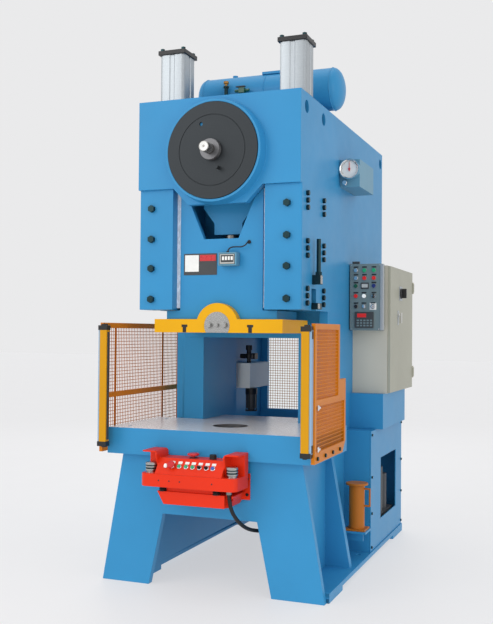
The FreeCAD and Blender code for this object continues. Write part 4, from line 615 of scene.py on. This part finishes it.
def add_light_curtains():
    """Yellow housings with black end caps, a dark optic strip and a grey back rail."""
    low, high = node_mm("light_curtains")
    inner, outer = high.x - 58, high.x
    front, back = low.y, high.y
    housing, caps, optics, rail = (bmesh.new() for _ in range(4))
    for side in (-1, 1):
        def corner(x, y, z):
            return mm(side * x, y, z)
        box_faces(housing, corner(inner + 4, front + 1, low.z + 30),
                  corner(outer - 12, back - 6, high.z - 32))
        box_faces(rail, corner(outer - 14, front + 8, low.z + 26),
                  corner(outer - 1, back, high.z - 28))
        for bottom, top in ((low.z + 6, low.z + 32), (high.z - 34, high.z - 8)):
            box_faces(caps, corner(inner + 1, front, bottom), corner(outer - 2, back - 2, top))
        box_faces(caps, corner(inner + 18, front + 6, high.z - 9), corner(outer - 18, back, high.z))
        box_faces(caps, corner(inner + 12, front + 10, low.z),
                  corner(inner + 34, back - 8, low.z + 8))
        box_faces(optics, corner(inner + 1, front + 10, low.z + 42),
                  corner(inner + 5, back - 12, high.z - 44))
        for z in (low.z + 50, high.z - 52):
            box_faces(caps, corner(outer - 6, front + 14, z - 20), corner(outer, back - 4, z + 20))
    piece("curtain_housings", housing, POST_YELLOW, "frame", 2.0, ("light_curtains",))
    piece("curtain_end_caps", caps, BLACK, "frame", 1.5)
    piece("curtain_optics", optics, DARK_GREY, "frame", 0.5)
    piece("curtain_rails", rail, GREY_BLUE, "frame", 1.0)


# ---- console -------------------------------------------------------------
TRAY_Z, DECK_Z = 640, 717
SLOPE_FRONT, SLOPE_REAR = -505, -440
KNOB_AT = (67, -400)
MOUNT_X, MOUNT_Y = (-185, 119), (-474, -358)
STOP_TRAVEL = 6
FLANGE_REACH = 236          # half width of the stand's wall flange


def deck_frame(x):
    """Point on the console's sloped face and its outward normal."""
    low, high = Vector((x, SLOPE_FRONT, TRAY_Z)), Vector((x, SLOPE_REAR, DECK_Z))
    normal = Vector((0, -(high.z - low.z), high.y - low.y)).normalized()
    middle = (low + high) / 2
    return mm(*middle), normal, (high - low).normalized()


def add_console_keys():
    """Row of operators on the sloped face, each but the lamp with a legend plate left bare."""
    kinds = [(-169, "lamp"), (-134, "stop"), (-92, "green"), (-53, "green"), (-16, "green"),
             (23, "selector"), (62, "selector"), (98, "blue")]
    finish = {"lamp": WHITE_LENS, "stop": STOP_RED, "green": GREEN, "selector": BLACK,
              "blue": BLUE_KEY}
    plates, rings = bmesh.new(), bmesh.new()
    keys = {name: bmesh.new() for name in finish}
    for x, kind in kinds:
        centre, normal, upward = deck_frame(x)
        place = turn_matrix(centre, normal)
        lathe(rings, centre, normal, [(0, 0), (13, 0), (13, 3), (11, 5), (0, 5)], 28)
        if kind != "lamp":
            top = centre + upward * 0.024
            bmesh.ops.create_cube(plates, size=1, matrix=Matrix.Translation(top)
                                  @ place.to_3x3().normalized().to_4x4()
                                  @ Matrix.Diagonal((0.023, 0.015, 0.003, 1)))
        if kind == "stop":
            profile = [(0, 4), (8, 4), (8, 12), (20, 14), (20, 22), (15, 26), (0, 27)]
        elif kind == "lamp":
            profile = [(0, 4), (9, 4), (9, 9), (6, 13), (0, 14)]
        elif kind == "selector":
            profile = [(0, 4), (10, 4), (10, 8), (0, 8)]
            grip = Matrix.Translation(centre + normal * 0.012) @ place.to_3x3().to_4x4()
            bmesh.ops.create_cube(keys[kind], size=1,
                                  matrix=grip @ Matrix.Diagonal((0.020, 0.006, 0.012, 1)))
        else:
            profile = [(0, 4), (9.5, 4), (9.5, 10), (8, 11.5), (0, 11.5)]
        lathe(keys[kind], centre, normal, profile, 28)
    piece("console_key_rings", rings, CHROME, "frame", 0.3, ("console_controls",))
    piece("console_key_plates", plates, WHITE, "frame", 0.3)
    for kind, bm in keys.items():
        piece("console_keys_" + kind, bm, finish[kind], "frame", 0.3)
    bm = bmesh.new()
    base = mm(*KNOB_AT, DECK_Z)
    lathe(bm, base, Z, [(0, 0), (19, 0), (19, 5), (17, 7), (17, 23), (15.5, 25), (0, 25)], 32)
    for i in range(20):
        angle = math.pi * i / 10
        grip = base + Vector((17 * math.cos(angle), 17 * math.sin(angle), 8)) / 1000
        bar(bm, grip, grip + Z * 0.014, 1.3, 6)
    piece("console_top_knob", bm, BLACK, "frame", 0)


def add_stop_button():
    low, high = node_mm("emergency_stop")
    x, y = (low.x + high.x) / 2, (low.y + high.y) / 2
    base = mm(x, y, low.z)
    rise = high.z - low.z
    bm = bmesh.new()
    lathe(bm, base, Z, [(0, 0), (8.8, 0), (8.8, rise - 16), (24, rise - 15), (32, rise - 11),
                        (32, rise - 6), (27, rise - 1.5), (0, rise)], 40)
    piece("emergency_stop_head", bm, STOP_RED, "stop_button", 0, ("emergency_stop",))
    collar = max(1, high.z - 17 - STOP_TRAVEL - DECK_Z)
    bm = bmesh.new()
    lathe(bm, mm(x, y, DECK_Z), Z, [(9.6, 0), (22, 0), (22, collar / 2), (16, collar),
                                   (9.6, collar)], 40)
    close_ring(bm, 40, 5)
    piece("emergency_stop_collar", bm, DARK_GREY, "frame", 0)


def add_palm_buttons():
    """Turned palm buttons with two dark bands, and a bright seat ring on the tray."""
    for name in ("palm_left", "palm_right"):
        node = "palm_button_" + name.split("_")[1]
        low, high = node_mm(node)
        x, y = (low.x + high.x) / 2, (low.y + high.y) / 2
        rise = high.z - low.z
        bm = bmesh.new()
        lathe(bm, mm(x, y, low.z), Z, [(0, 0), (25.5, 0), (25.5, 36), (29, 36), (31, 38),
              (31, 44), (29, 45), (29, 52), (31, 53), (31, 59), (29, 60), (29, 65), (31, 66),
              (31, rise - 5), (28, rise - 1), (0, rise)], 44)
        piece(node + "_turned", bm, BRIGHT, name, 0, (node,))
        for low_edge, high_edge in ((45, 52), (60, 65)):
            bm = bmesh.new()
            lathe(bm, mm(x, y, low.z), Z, [(20, low_edge + 0.4), (29.6, low_edge + 0.4),
                                           (29.6, high_edge - 0.4), (20, high_edge - 0.4)], 44)
            close_ring(bm, 44, 4)
            piece(f"{node}_band_{low_edge}", bm, BLACKED, name, 0)
        bm = bmesh.new()
        lathe(bm, mm(x, y, TRAY_Z), Z, [(27, 0), (33, 0), (33, 1), (32, 1.5), (27, 1.5)], 44)
        close_ring(bm, 44, 5)
        piece(node + "_seat", bm, CHROME, "frame", 0)


def add_console_stand():
    stand = refine("console_stand", RED, 1.5)
    reach = mm(FLANGE_REACH, 0, 0).x
    middle = RAM.x
    for vertex in stand.data.vertices:
        offset = vertex.co.x - middle
        if abs(offset) > reach - middle:
            vertex.co.x = middle + math.copysign(reach - middle, offset)
    bm = bmesh.new()
    for x in MOUNT_X:
        for y in MOUNT_Y:
            lathe(bm, mm(x, y, 548), Z, [(0, 0), (18, 0), (20, 4), (16.5, 9), (20, 13),
                                         (16.5, 17), (20, 22), (18, 26), (0, 26)], 28)
    piece("console_rubber_mounts", bm, RUBBER, "frame", 0)
    bm = bmesh.new()
    for x in (-FLANGE_REACH + 14, FLANGE_REACH - 14):
        for z in (530, 612):
            hexagon(bm, mm(x, -305, z), -Y, 15, 7)
    for x in (-190, -130, -70, 110):
        hexagon(bm, mm(x, -513, 608), -Y, 8, 2.2)
    piece("console_screws", bm, BLACKED, "frame", 0.4)


HOSE = [(186, -470, 554), (190, -464, 488), (206, -428, 428), (224, -380, 384),
        (238, -326, 356), (250, -268, 338), (300, -206, 326), (358, -172, 326),
        (417, -166, 330)]


def add_hose():
    """Black console hose from its gland down and through the arch to the side plate."""
    route = [mm(*place) for place in HOSE]
    hose = tube("console_hose_line", route, 0.010, RUBBER, "frame", 16, 6, True)
    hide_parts("console_hose")


# ---- operator panel and cabinet -----------------------------------------
PANEL_FRONT = 770.0
KEY_AT = (633, 1544)


def panel_round(bm, x, z, profile, steps=28):
    lathe(bm, mm(x, PANEL_FRONT, z), -Y, profile, steps)


def add_panel_controls():
    ring = [(0, 0), (14, 0), (14, 2.5), (12, 3), (0, 3)]
    cap = [(0, 2), (12.5, 2), (12.5, 8), (11.5, 9), (0, 9)]
    flat = [(0, 2), (11, 2), (11, 8), (0, 8)]
    spots = {
        "silver": [(524, 1769), (524, 1721)], "green": [(578, 1769), (638, 1769)],
        "red": [(578, 1721), (638, 1721), (524, 1609)], "dark_green": [(524, 1672)],
        "dark_blue": [(638, 1672)], "white": [(576, 1609)], "black": [(525, 1544)],
        "selector": [(576, 1544)],
    }
    finish = {"silver": CHROME, "green": GREEN, "red": RED_LENS, "dark_green": GLOWING_DARK_GREEN,
              "dark_blue": DARK_BLUE, "white": WHITE_LENS, "black": BLACK, "selector": CHROME}
    rings, plates = bmesh.new(), bmesh.new()
    for colour, places in spots.items():
        bm = bmesh.new()
        for x, z in places:
            panel_round(rings, x, z, ring)
            panel_round(bm, x, z, flat if colour in ("black", "selector") else cap)
            box_faces(plates, mm(x - 15, PANEL_FRONT - 1.5, z + 17),
                      mm(x + 15, PANEL_FRONT, z + 25))
            if colour == "selector":
                box_faces(bm, mm(x - 4, PANEL_FRONT - 18, z - 10),
                          mm(x + 4, PANEL_FRONT - 9, z + 10))
        piece("panel_" + colour, bm, finish[colour], "frame", 0.4)
    for x, z in ((639, 1609), KEY_AT):
        box_faces(plates, mm(x - 15, PANEL_FRONT - 1.5, z + 18), mm(x + 15, PANEL_FRONT, z + 25))
    piece("panel_rings", rings, TURNED, "frame", 0.3, ("panel_controls",))
    piece("panel_bare_plates", plates, BLACK, "frame", 0.2)
    bm = bmesh.new()
    box_faces(bm, mm(556, PANEL_FRONT - 6, 1653), mm(606, PANEL_FRONT, 1692))
    box_faces(bm, mm(519, PANEL_FRONT - 10, 1410), mm(637, PANEL_FRONT, 1510))
    piece("panel_module_frames", bm, DARK_GREY, "frame", 1.5)
    block_piece("panel_display", mm(535, PANEL_FRONT - 11, 1476), mm(592, PANEL_FRONT - 9, 1500),
                DISPLAY, "frame", 0.3)
    block_piece("panel_counter", mm(562, PANEL_FRONT - 7, 1662), mm(600, PANEL_FRONT - 5, 1684),
                LIGHT_GREY, "frame", 0.3)
    bm = bmesh.new()
    for row in range(3):
        for column in range(5):
            x, z = 532 + 21 * column, 1420 + 16 * row
            box_faces(bm, mm(x, PANEL_FRONT - 12, z), mm(x + 14, PANEL_FRONT - 9, z + 10))
    piece("panel_module_keys", bm, SLATE, "frame", 0.6)
    bm = bmesh.new()
    panel_round(bm, *KEY_AT, [(16, 0), (19, 0), (19, 2), (16, 2)])
    close_ring(bm, 28, 4)
    box_faces(bm, mm(612, PANEL_FRONT - 1.2, 1523), mm(654, PANEL_FRONT - 0.1, 1566))
    piece("key_square", bm, WHITE, "frame", 0.3)


def add_panel_handles():
    low, high = node_mm("panel_selector")
    x, z, y = (low.x + high.x) / 2, (low.z + high.z) / 2, high.y
    bm = bmesh.new()
    lathe(bm, mm(x, y, z), -Y, [(0, 0), (15, 0), (15, 5), (12, 10), (0, 10)], 32)
    piece("panel_selector_ring", bm, CHROME, "selector", 0.3, ("panel_selector",))
    block_piece("panel_selector_grip", mm(x - 5, low.y, z - 13), mm(x + 5, y - 9, z + 13),
                BLACK, "selector", 1.5)
    low, high = node_mm("panel_key_switch")
    x, z = KEY_AT
    bm = bmesh.new()
    lathe(bm, mm(x, high.y, z), -Y, [(0, 0), (15, 0), (15, 8), (12, 12), (0, 12)], 32)
    box_faces(bm, mm(x - 1.5, low.y + 14, z - 5), mm(x + 1.5, high.y - 11, z + 5))
    lathe(bm, mm(x - 1.5, low.y + 12, z), X, [(4, 0), (12, 0), (12, 3), (4, 3)], 28)
    close_ring(bm, 28, 4)
    piece("panel_key", bm, CHROME, "key", 0.3, ("panel_key_switch",))


def add_panel_trim():
    """Silver edge strip of the panel box, its top bracket and screws."""
    low, high = node_mm("panel_box")
    block_piece("panel_edge_strip", mm(high.x - 4, low.y - 3, low.z + 2),
                mm(high.x + 15, low.y + 26, high.z - 2), PROFILE, "frame", 1.5)
    block_piece("panel_top_bracket", mm(498, 776, high.z), mm(543, 800, high.z + 16),
                DARK_GREY, "frame", 1.5)
    bm = bmesh.new()
    for x in (low.x + 9, high.x - 12):
        for z in (low.z + 9, high.z - 9):
            lathe(bm, mm(x, low.y, z), -Y, [(0, 0), (4, 0), (3.2, 2), (0, 2.4)], 16)
    piece("panel_screws", bm, CHROME, "frame", 0)


def add_cabinet():
    """Cabinet door with rounded folded edges."""
    refine("cabinet_door", DOOR_BEIGE, 2.5)


DOOR_FACE = 241             # the door's outer face from the cabinet's inner side


def add_door_handles():
    low, high = node_mm("main_switch")
    y, z = (low.y + high.y) / 2, (low.z + high.z) / 2
    bm = bmesh.new()
    lathe(bm, mm(low.x, y, z), X, [(0, 0), (34, 0), (34, 8), (30, 14), (0, 14)], 40)
    prism(bm, [mm(low.x + 13, y - 9, z - 30), mm(low.x + 13, y + 9, z - 30),
               mm(low.x + 13, y + 6, z + 32), mm(low.x + 13, y - 6, z + 32)],
          X * (high.x - low.x - 13) / 1000)
    piece("main_switch_handle", bm, BLACK, "isolator", 1.5, ("main_switch",))
    face = node_mm("cabinet_body")[0].x + DOOR_FACE
    block_piece("main_switch_plate", mm(face - 0.5, y - 46, z - 46), mm(face + 3, y + 46, z + 46),
                PROFILE, "door", 0.3)
    refine("door_lock", CHROME, 1.5)
    low, high = node_mm("door_lock")
    block_piece("door_lock_plate", mm(face - 0.5, low.y - 5, low.z - 12),
                mm(face + 1.5, high.y + 5, high.z + 12), PROFILE, "door", 0.3)


# ---- slide front ---------------------------------------------------------
# Y of the lead's points is measured from the slide's face.
LEAD = [(52, -28, 1811), (52, -28, 1828), (72, -27, 1841), (104, -26, 1842), (134, -27, 1840),
        (156, -28, 1850), (167, -23, 1869), (167, -6, 1869)]


def add_slide_front():
    """Bare plate with plain colour fields, and black painted shade filling the T-slots."""
    face = node_mm("slide_body")[0].y
    block_piece("plate_back", mm(-223, face - 2.5, 1693), mm(-23, face, 1812),
                DARK_GREY, "slide", 0.5)
    block_piece("plate_white_field", mm(-216, face - 3.2, 1712), mm(-132, face - 2.2, 1804),
                WHITE, "slide", 0.2)
    block_piece("plate_red_field", mm(-126, face - 3.2, 1770), mm(-30, face - 2.2, 1804),
                STOP_RED, "slide", 0.2)
    add_indicator(face)
    # Black T-shaped prisms fill the slots' depth as painted shade, not as a part of the slide.
    slot_shade_fill = bmesh.new()
    flange_low, flange_high = node_mm("slide_flange")
    for x in (-194, 194):
        z0 = flange_low.z
        shape = [(-10.8, 2), (10.8, 2), (10.8, 30), (17.8, 30), (17.8, 43.8), (-17.8, 43.8),
                 (-17.8, 30), (-10.8, 30)]
        prism(slot_shade_fill, [mm(x + dx, flange_low.y + 3, z0 + dz) for dx, dz in shape],
              Y * (flange_high.y - flange_low.y - 6) / 1000)
    piece("t_slot_shade", slot_shade_fill, BLACK, "slide", 0)


def add_indicator(face):
    """Die-height indicator on the slide's face, with its lead, glands and number wheels."""
    front = node_mm("indicator_box")[0]
    block_piece("indicator_case", mm(5, front.y, front.z), mm(113, face, 1811),
                GAUGE_BLUE, "slide", 4, ("indicator_box",))
    bm = bmesh.new()
    lathe(bm, mm(167, face, 1869), -Y, [(0, 0), (10, 0), (10, 6), (7, 8), (0, 8)], 24)
    lathe(bm, mm(52, face - 28, 1811), Z, [(0, 0), (8, 0), (8, 8), (0, 8)], 20)
    piece("indicator_glands", bm, BLACK, "slide", 0.4)
    tube("indicator_lead", [mm(x, face + y, z) for x, y, z in LEAD], 0.0035, BLACK, "slide")
    block_piece("indicator_rim", mm(14, front.y - 1.5, 1746), mm(104, front.y + 1, 1803),
                DARK_GREY, "slide", 0.8)
    block_piece("indicator_face", mm(17, front.y - 1.8, 1749), mm(101, front.y + 1, 1800),
                LIGHT_GREY, "slide", 0.8)
    block_piece("indicator_window", mm(22, front.y - 2.1, 1756), mm(98, front.y + 1, 1796),
                DARK_GREY, "slide", 0.8)
    bm = bmesh.new()
    for i in range(4):
        x = 30 + 17 * i
        box_faces(bm, mm(x, front.y - 2.6, 1768), mm(x + 12, front.y - 1, 1788))
    piece("indicator_wheels", bm, WHITE, "slide", 0.4)


# ---- top -----------------------------------------------------------------
def add_balance_cylinders():
    """Aluminium profile barrels with grooves, black heads and tie-rod nuts."""
    low, high = node_mm("balance_cylinders")
    barrels, heads, nuts = (bmesh.new() for _ in range(3))
    half, inner = 86, 78
    cap_low, cap_top = high.z - 42, high.z - 16
    y = (low.y + high.y) / 2
    for x in (-367, 367):
        outline = []
        groove = 4
        for turn in range(4):
            angle = math.pi / 2 * turn
            side = [(inner, -inner + 20), (inner, -16), (inner - groove, -12),
                    (inner - groove, 12), (inner, 16), (inner, inner - 20),
                    (inner - 6, inner - 6)]
            for a, b in side:
                outline.append(mm(x + a * math.cos(angle) - b * math.sin(angle),
                                  y + a * math.sin(angle) + b * math.cos(angle), low.z + 26))
        prism(barrels, outline, Z * (cap_low - low.z - 26) / 1000)
        box_faces(heads, mm(x - half, y - half, cap_low), mm(x + half, y + half, cap_top))
        box_faces(heads, mm(x - half, y - half, low.z), mm(x + half, y + half, low.z + 26))
        for sx in (-1, 1):
            for sy in (-1, 1):
                hexagon(nuts, mm(x + sx * 66, y + sy * 66, cap_top), Z, 24, 13)
                bar(nuts, mm(x + sx * 66, y + sy * 66, cap_top), mm(x + sx * 66, y + sy * 66,
                    cap_top + 16), 6, 12)
    piece("balance_barrels", barrels, PROFILE, "frame", 1.0, ("balance_cylinders",))
    piece("balance_heads", heads, BLACK, "frame", 3.0)
    piece("balance_nuts", nuts, BLACKED, "frame", 0.8)


STOP_REAR, STOP_TOP = 25, 1693      # the knock-out stops' block ends here
TANK_Y, TANK_R, TANK_RISE = 450, 125, 166
ELBOW_X, ELBOW_Y = -170, TANK_Y - 150


def add_shaft_end():
    """Chamfered shaft end with a centre hole, and its dark collar."""
    low, _ = node_mm("crankshaft")
    front = low.y
    z = CRANK_Z
    bm = bmesh.new()
    lathe(bm, mm(0, front - 0.5, z), Y, [(7, 6), (7, 0.5), (24, 0), (28.4, 4), (28.4, 60),
                                         (7, 60)], 48)
    close_ring(bm, 48, 6)
    lathe(bm, mm(0, front + 5, z), Y, [(0, 0), (7, 0), (7, 2), (0, 2)], 24)
    piece("shaft_end_chamfer", bm, BRIGHT, "crank", 0)
    bm = bmesh.new()
    for i in range(5):
        lathe(bm, mm(0, -331 + 6 * i, z), Y, [(28.6, 0), (56, 0), (57, 2), (56, 4), (28.6, 4)], 48)
        close_ring(bm, 48, 5)
    piece("shaft_collar_rings", bm, FORGED, "crank", 0)


def add_knockout_faces():
    """Bright machined ends of the knock-out bar and its stop blocks."""
    for name, body in (("knockout_stops", "frame"), ("knockout_bar", "knockout")):
        low, high = node_mm(name)
        y0, y1 = low.y + 3, min(high.y, STOP_REAR) - 3
        z0, z1 = low.z + 3, min(high.z, STOP_TOP) - 3
        bm = bmesh.new()
        for side in (-1, 1):
            x = side * high.x
            box_faces(bm, mm(x - side * 2, y0, z0), mm(x + side * 0.6, y1, z1))
        piece(name + "_faces", bm, BRIGHT, body, 0.4)


def add_safety_block():
    """Die safety block: turned post between a foot and a head, with a bent bail."""
    low, high = node_mm("safety_block")
    x, y = low.x + 66, (low.y + high.y) / 2
    rise = high.z - low.z - 10
    bm = bmesh.new()
    box_faces(bm, mm(x - 62, y - 62, low.z), mm(x + 62, y + 62, low.z + 10))
    lathe(bm, mm(x, y, low.z + 10), Z, [(0, 0), (46, 0), (46, rise - 12), (64, rise - 12),
          (66, rise - 10), (66, rise - 2), (64, rise), (0, rise)], 48)
    piece("safety_block_post", bm, SAFETY, "frame", 1.0, ("safety_block",))
    bm = bmesh.new()
    corners = [(x + 42, high.z - 34), (x + 78, high.z - 34), (x + 78, high.z - 134),
               (x + 42, high.z - 134)]
    for (x0, z0), (x1, z1) in zip(corners, corners[1:]):
        bar(bm, mm(x0, y, z0), mm(x1, y, z1), 5.5, 16)
    for x0, z0 in corners[1:3]:
        lathe(bm, mm(x0, y, z0 - 5.5), Z,
              [(0, 0), (3.9, 1.6), (5.5, 5.5), (3.9, 9.4), (0, 11)], 16)
    piece("safety_block_bail", bm, SAFETY, "frame", 0)


def add_tank_fittings():
    """Weld beads, outlet elbow with its cap, ball valve with its lever, and the top pad."""
    low, high = node_mm("air_tank")
    z = low.z + TANK_RISE
    beads = bmesh.new()
    for x in (low.x + 62, high.x - 62, 60):
        ring_bead(beads, mm(x, TANK_Y, z), X, TANK_R + 0.5, 4)
    piece("tank_weld_beads", beads, BLUE, "frame", 0)
    bm = bmesh.new()
    bar(bm, mm(ELBOW_X, ELBOW_Y, z - 30), mm(ELBOW_X, ELBOW_Y, z + 34), 11, 20)
    bar(bm, mm(ELBOW_X, ELBOW_Y, z - 16), mm(ELBOW_X, TANK_Y - 90, z - 16), 11, 20)
    hexagon(bm, mm(ELBOW_X, ELBOW_Y, z + 26), Z, 32, 12)
    piece("tank_elbow", bm, BLACKED, "frame", 0.8)
    bm = bmesh.new()
    lathe(bm, mm(ELBOW_X, ELBOW_Y, z + 38), Z,
          [(0, 0), (9, 0), (9, 12), (16, 14), (16, 28), (0, 30)], 24)
    piece("tank_elbow_cap", bm, BRONZE, "frame", 0)
    bm = bmesh.new()
    bar(bm, mm(-112, ELBOW_Y, z + 2), mm(-20, ELBOW_Y, z + 2), 9, 20)
    box_faces(bm, mm(-84, ELBOW_Y - 18, z - 14), mm(-46, ELBOW_Y + 16, z + 18))
    # The valve takes the panel lens's glowing dark green, so it shows a faint painted glow although
    # it is no lamp.
    piece("tank_valve", bm, GLOWING_DARK_GREEN, "frame", 1.5)
    block_piece("tank_valve_lever", mm(-100, ELBOW_Y - 22, z + 20), mm(-40, ELBOW_Y - 8, z + 26),
                BLACK, "frame", 0.6)
    block_piece("tank_pad", mm(30, TANK_Y - 66, z + TANK_R - 12),
                mm(160, TANK_Y + 40, z + TANK_R + 4), BLUE, "frame", 1.5)


def ring_bead(bm, centre, axis, radius, thick, steps=56):
    """Weld bead: a slim torus of radius and thickness in millimetres."""
    profile = [(radius, -thick), (radius + thick * 0.8, 0), (radius, thick), (radius - 3, 0)]
    lathe(bm, centre, axis, profile, steps)
    close_ring(bm, steps, 4)


# ---- gauge ---------------------------------------------------------------
def add_gauge():
    """White dial with ticks, a bright bezel, a red needle and the regulator's knob."""
    low, high = node_mm("gauge_needle")
    case_low, _ = node_mm("gauge_box")
    front = case_low.y + 4
    x, z = (low.x + high.x) / 2, low.z + 14
    bm = bmesh.new()
    lathe(bm, mm(x, front + 13, z), -Y, [(0, 0), (54, 0), (54, 2), (0, 2)], 48)
    piece("gauge_dial", bm, WHITE, "frame", 0)
    ticks = bmesh.new()
    for i in range(25):
        angle = math.radians(-120 + 10 * i)
        outer, inner = 50, 42 if i % 4 == 0 else 46
        direction = Vector((math.sin(angle), 0, math.cos(angle)))
        start = mm(x, front + 10.6, z) + direction * inner / 1000
        end = mm(x, front + 10.6, z) + direction * outer / 1000
        bar(ticks, start, end, 0.9, 6)
    piece("gauge_ticks", ticks, BLACK, "frame", 0)
    bm = bmesh.new()
    lathe(bm, mm(x, front + 6, z), -Y, [(52, 0), (60, 0), (60, 8), (56, 10), (52, 6)], 56)
    close_ring(bm, 56, 5)
    piece("gauge_bezel", bm, CHROME, "frame", 0)
    bm = bmesh.new()
    needle_y = low.y
    prism(bm, [mm(x - 3, needle_y + 3, z - 14), mm(x + 3, needle_y + 3, z - 14),
               mm(x + 0.8, needle_y + 3, z + 44), mm(x - 0.8, needle_y + 3, z + 44)],
          -Y * 0.0025)
    lathe(bm, mm(x, needle_y + 18, z), -Y, [(0, 0), (2.8, 0), (2.8, 14), (7, 14), (7, 18),
                                            (0, 18)], 24)
    piece("gauge_pointer", bm, STOP_RED, "needle", 0, ("gauge_needle",))
    low, high = node_mm("regulator_knob")
    kx, kz = (low.x + high.x) / 2, (low.z + high.z) / 2
    length = high.y - low.y
    bm = bmesh.new()
    lathe(bm, mm(kx, high.y, kz), -Y, [(0, 0), (9, 0), (9, 12), (15, 14), (15, length - 4),
                                       (12, length), (0, length)], 30)
    piece("regulator_grip", bm, CHROME, "regulator", 0, ("regulator_knob",))


# ---- air unit ------------------------------------------------------------
AIR_BOX_X, AIR_BOX_Y, AIR_BOX_Z = -250, (950, 1325), (1000, 1170)
AIR_VALVE_AT = (-270, 980)
AIR_BOWL_AT = (-255, 990)


def add_air_unit():
    """Grey box, black regulator, and a dark bowl inside its guard."""
    low, _ = node_mm("air_unit")
    # The box's grey is painted lighter to make up for the shade it stands in.
    block_piece("air_unit_box", mm(low.x, AIR_BOX_Y[0], AIR_BOX_Z[0]),
                mm(AIR_BOX_X, AIR_BOX_Y[1], AIR_BOX_Z[1]), LIGHTENED_AIR_GREY, "frame", 4, ("air_unit",))
    bm = bmesh.new()
    lathe(bm, mm(*AIR_VALVE_AT, AIR_BOX_Z[1]), Z,
          [(0, 0), (14, 0), (14, 30), (26, 34), (26, 60), (16, 64), (16, 84), (22, 88),
           (22, 118), (18, 120), (0, 120)], 32)
    bar(bm, mm(-330, AIR_VALVE_AT[1], 1215), mm(-245, AIR_VALVE_AT[1], 1215), 16, 20)
    box_faces(bm, mm(-262, 1000, 1195), mm(-236, 1060, 1235))
    piece("air_regulator", bm, BLACK, "frame", 0.8)
    bm = bmesh.new()
    lathe(bm, mm(*AIR_BOWL_AT, 858), Z, [(0, 0), (26, 0), (32, 8), (32, 100), (0, 100)], 32)
    piece("air_bowl", bm, DARK_GREY, "frame", 0)
    bm = bmesh.new()
    for i in range(8):
        angle = math.pi * i / 4
        x, y = AIR_BOWL_AT[0] + 37 * math.cos(angle), AIR_BOWL_AT[1] + 37 * math.sin(angle)
        bar(bm, mm(x, y, 848), mm(x, y, 965), 2.6, 8)
    lathe(bm, mm(*AIR_BOWL_AT, 845), Z, [(30, 0), (40, 0), (40, 8), (30, 8)], 32)
    close_ring(bm, 32, 4)
    lathe(bm, mm(*AIR_BOWL_AT, 958), Z, [(0, 0), (40, 0), (40, 42), (0, 42)], 32)
    piece("air_bowl_guard", bm, BLACK, "frame", 0.4)


def build():
    add_camera()
    add_studio()
    add_hose()
    finish_frame()
    finish_mechanics()
    add_guard_meshes()
    add_guard_latches()
    add_light_curtains()
    add_console_keys()
    add_stop_button()
    add_palm_buttons()
    add_console_stand()
    add_panel_controls()
    add_panel_handles()
    add_panel_trim()
    add_cabinet()
    add_door_handles()
    add_slide_front()
    add_balance_cylinders()
    add_shaft_end()
    add_knockout_faces()
    add_safety_block()
    add_tank_fittings()
    add_gauge()
    add_air_unit()


build()
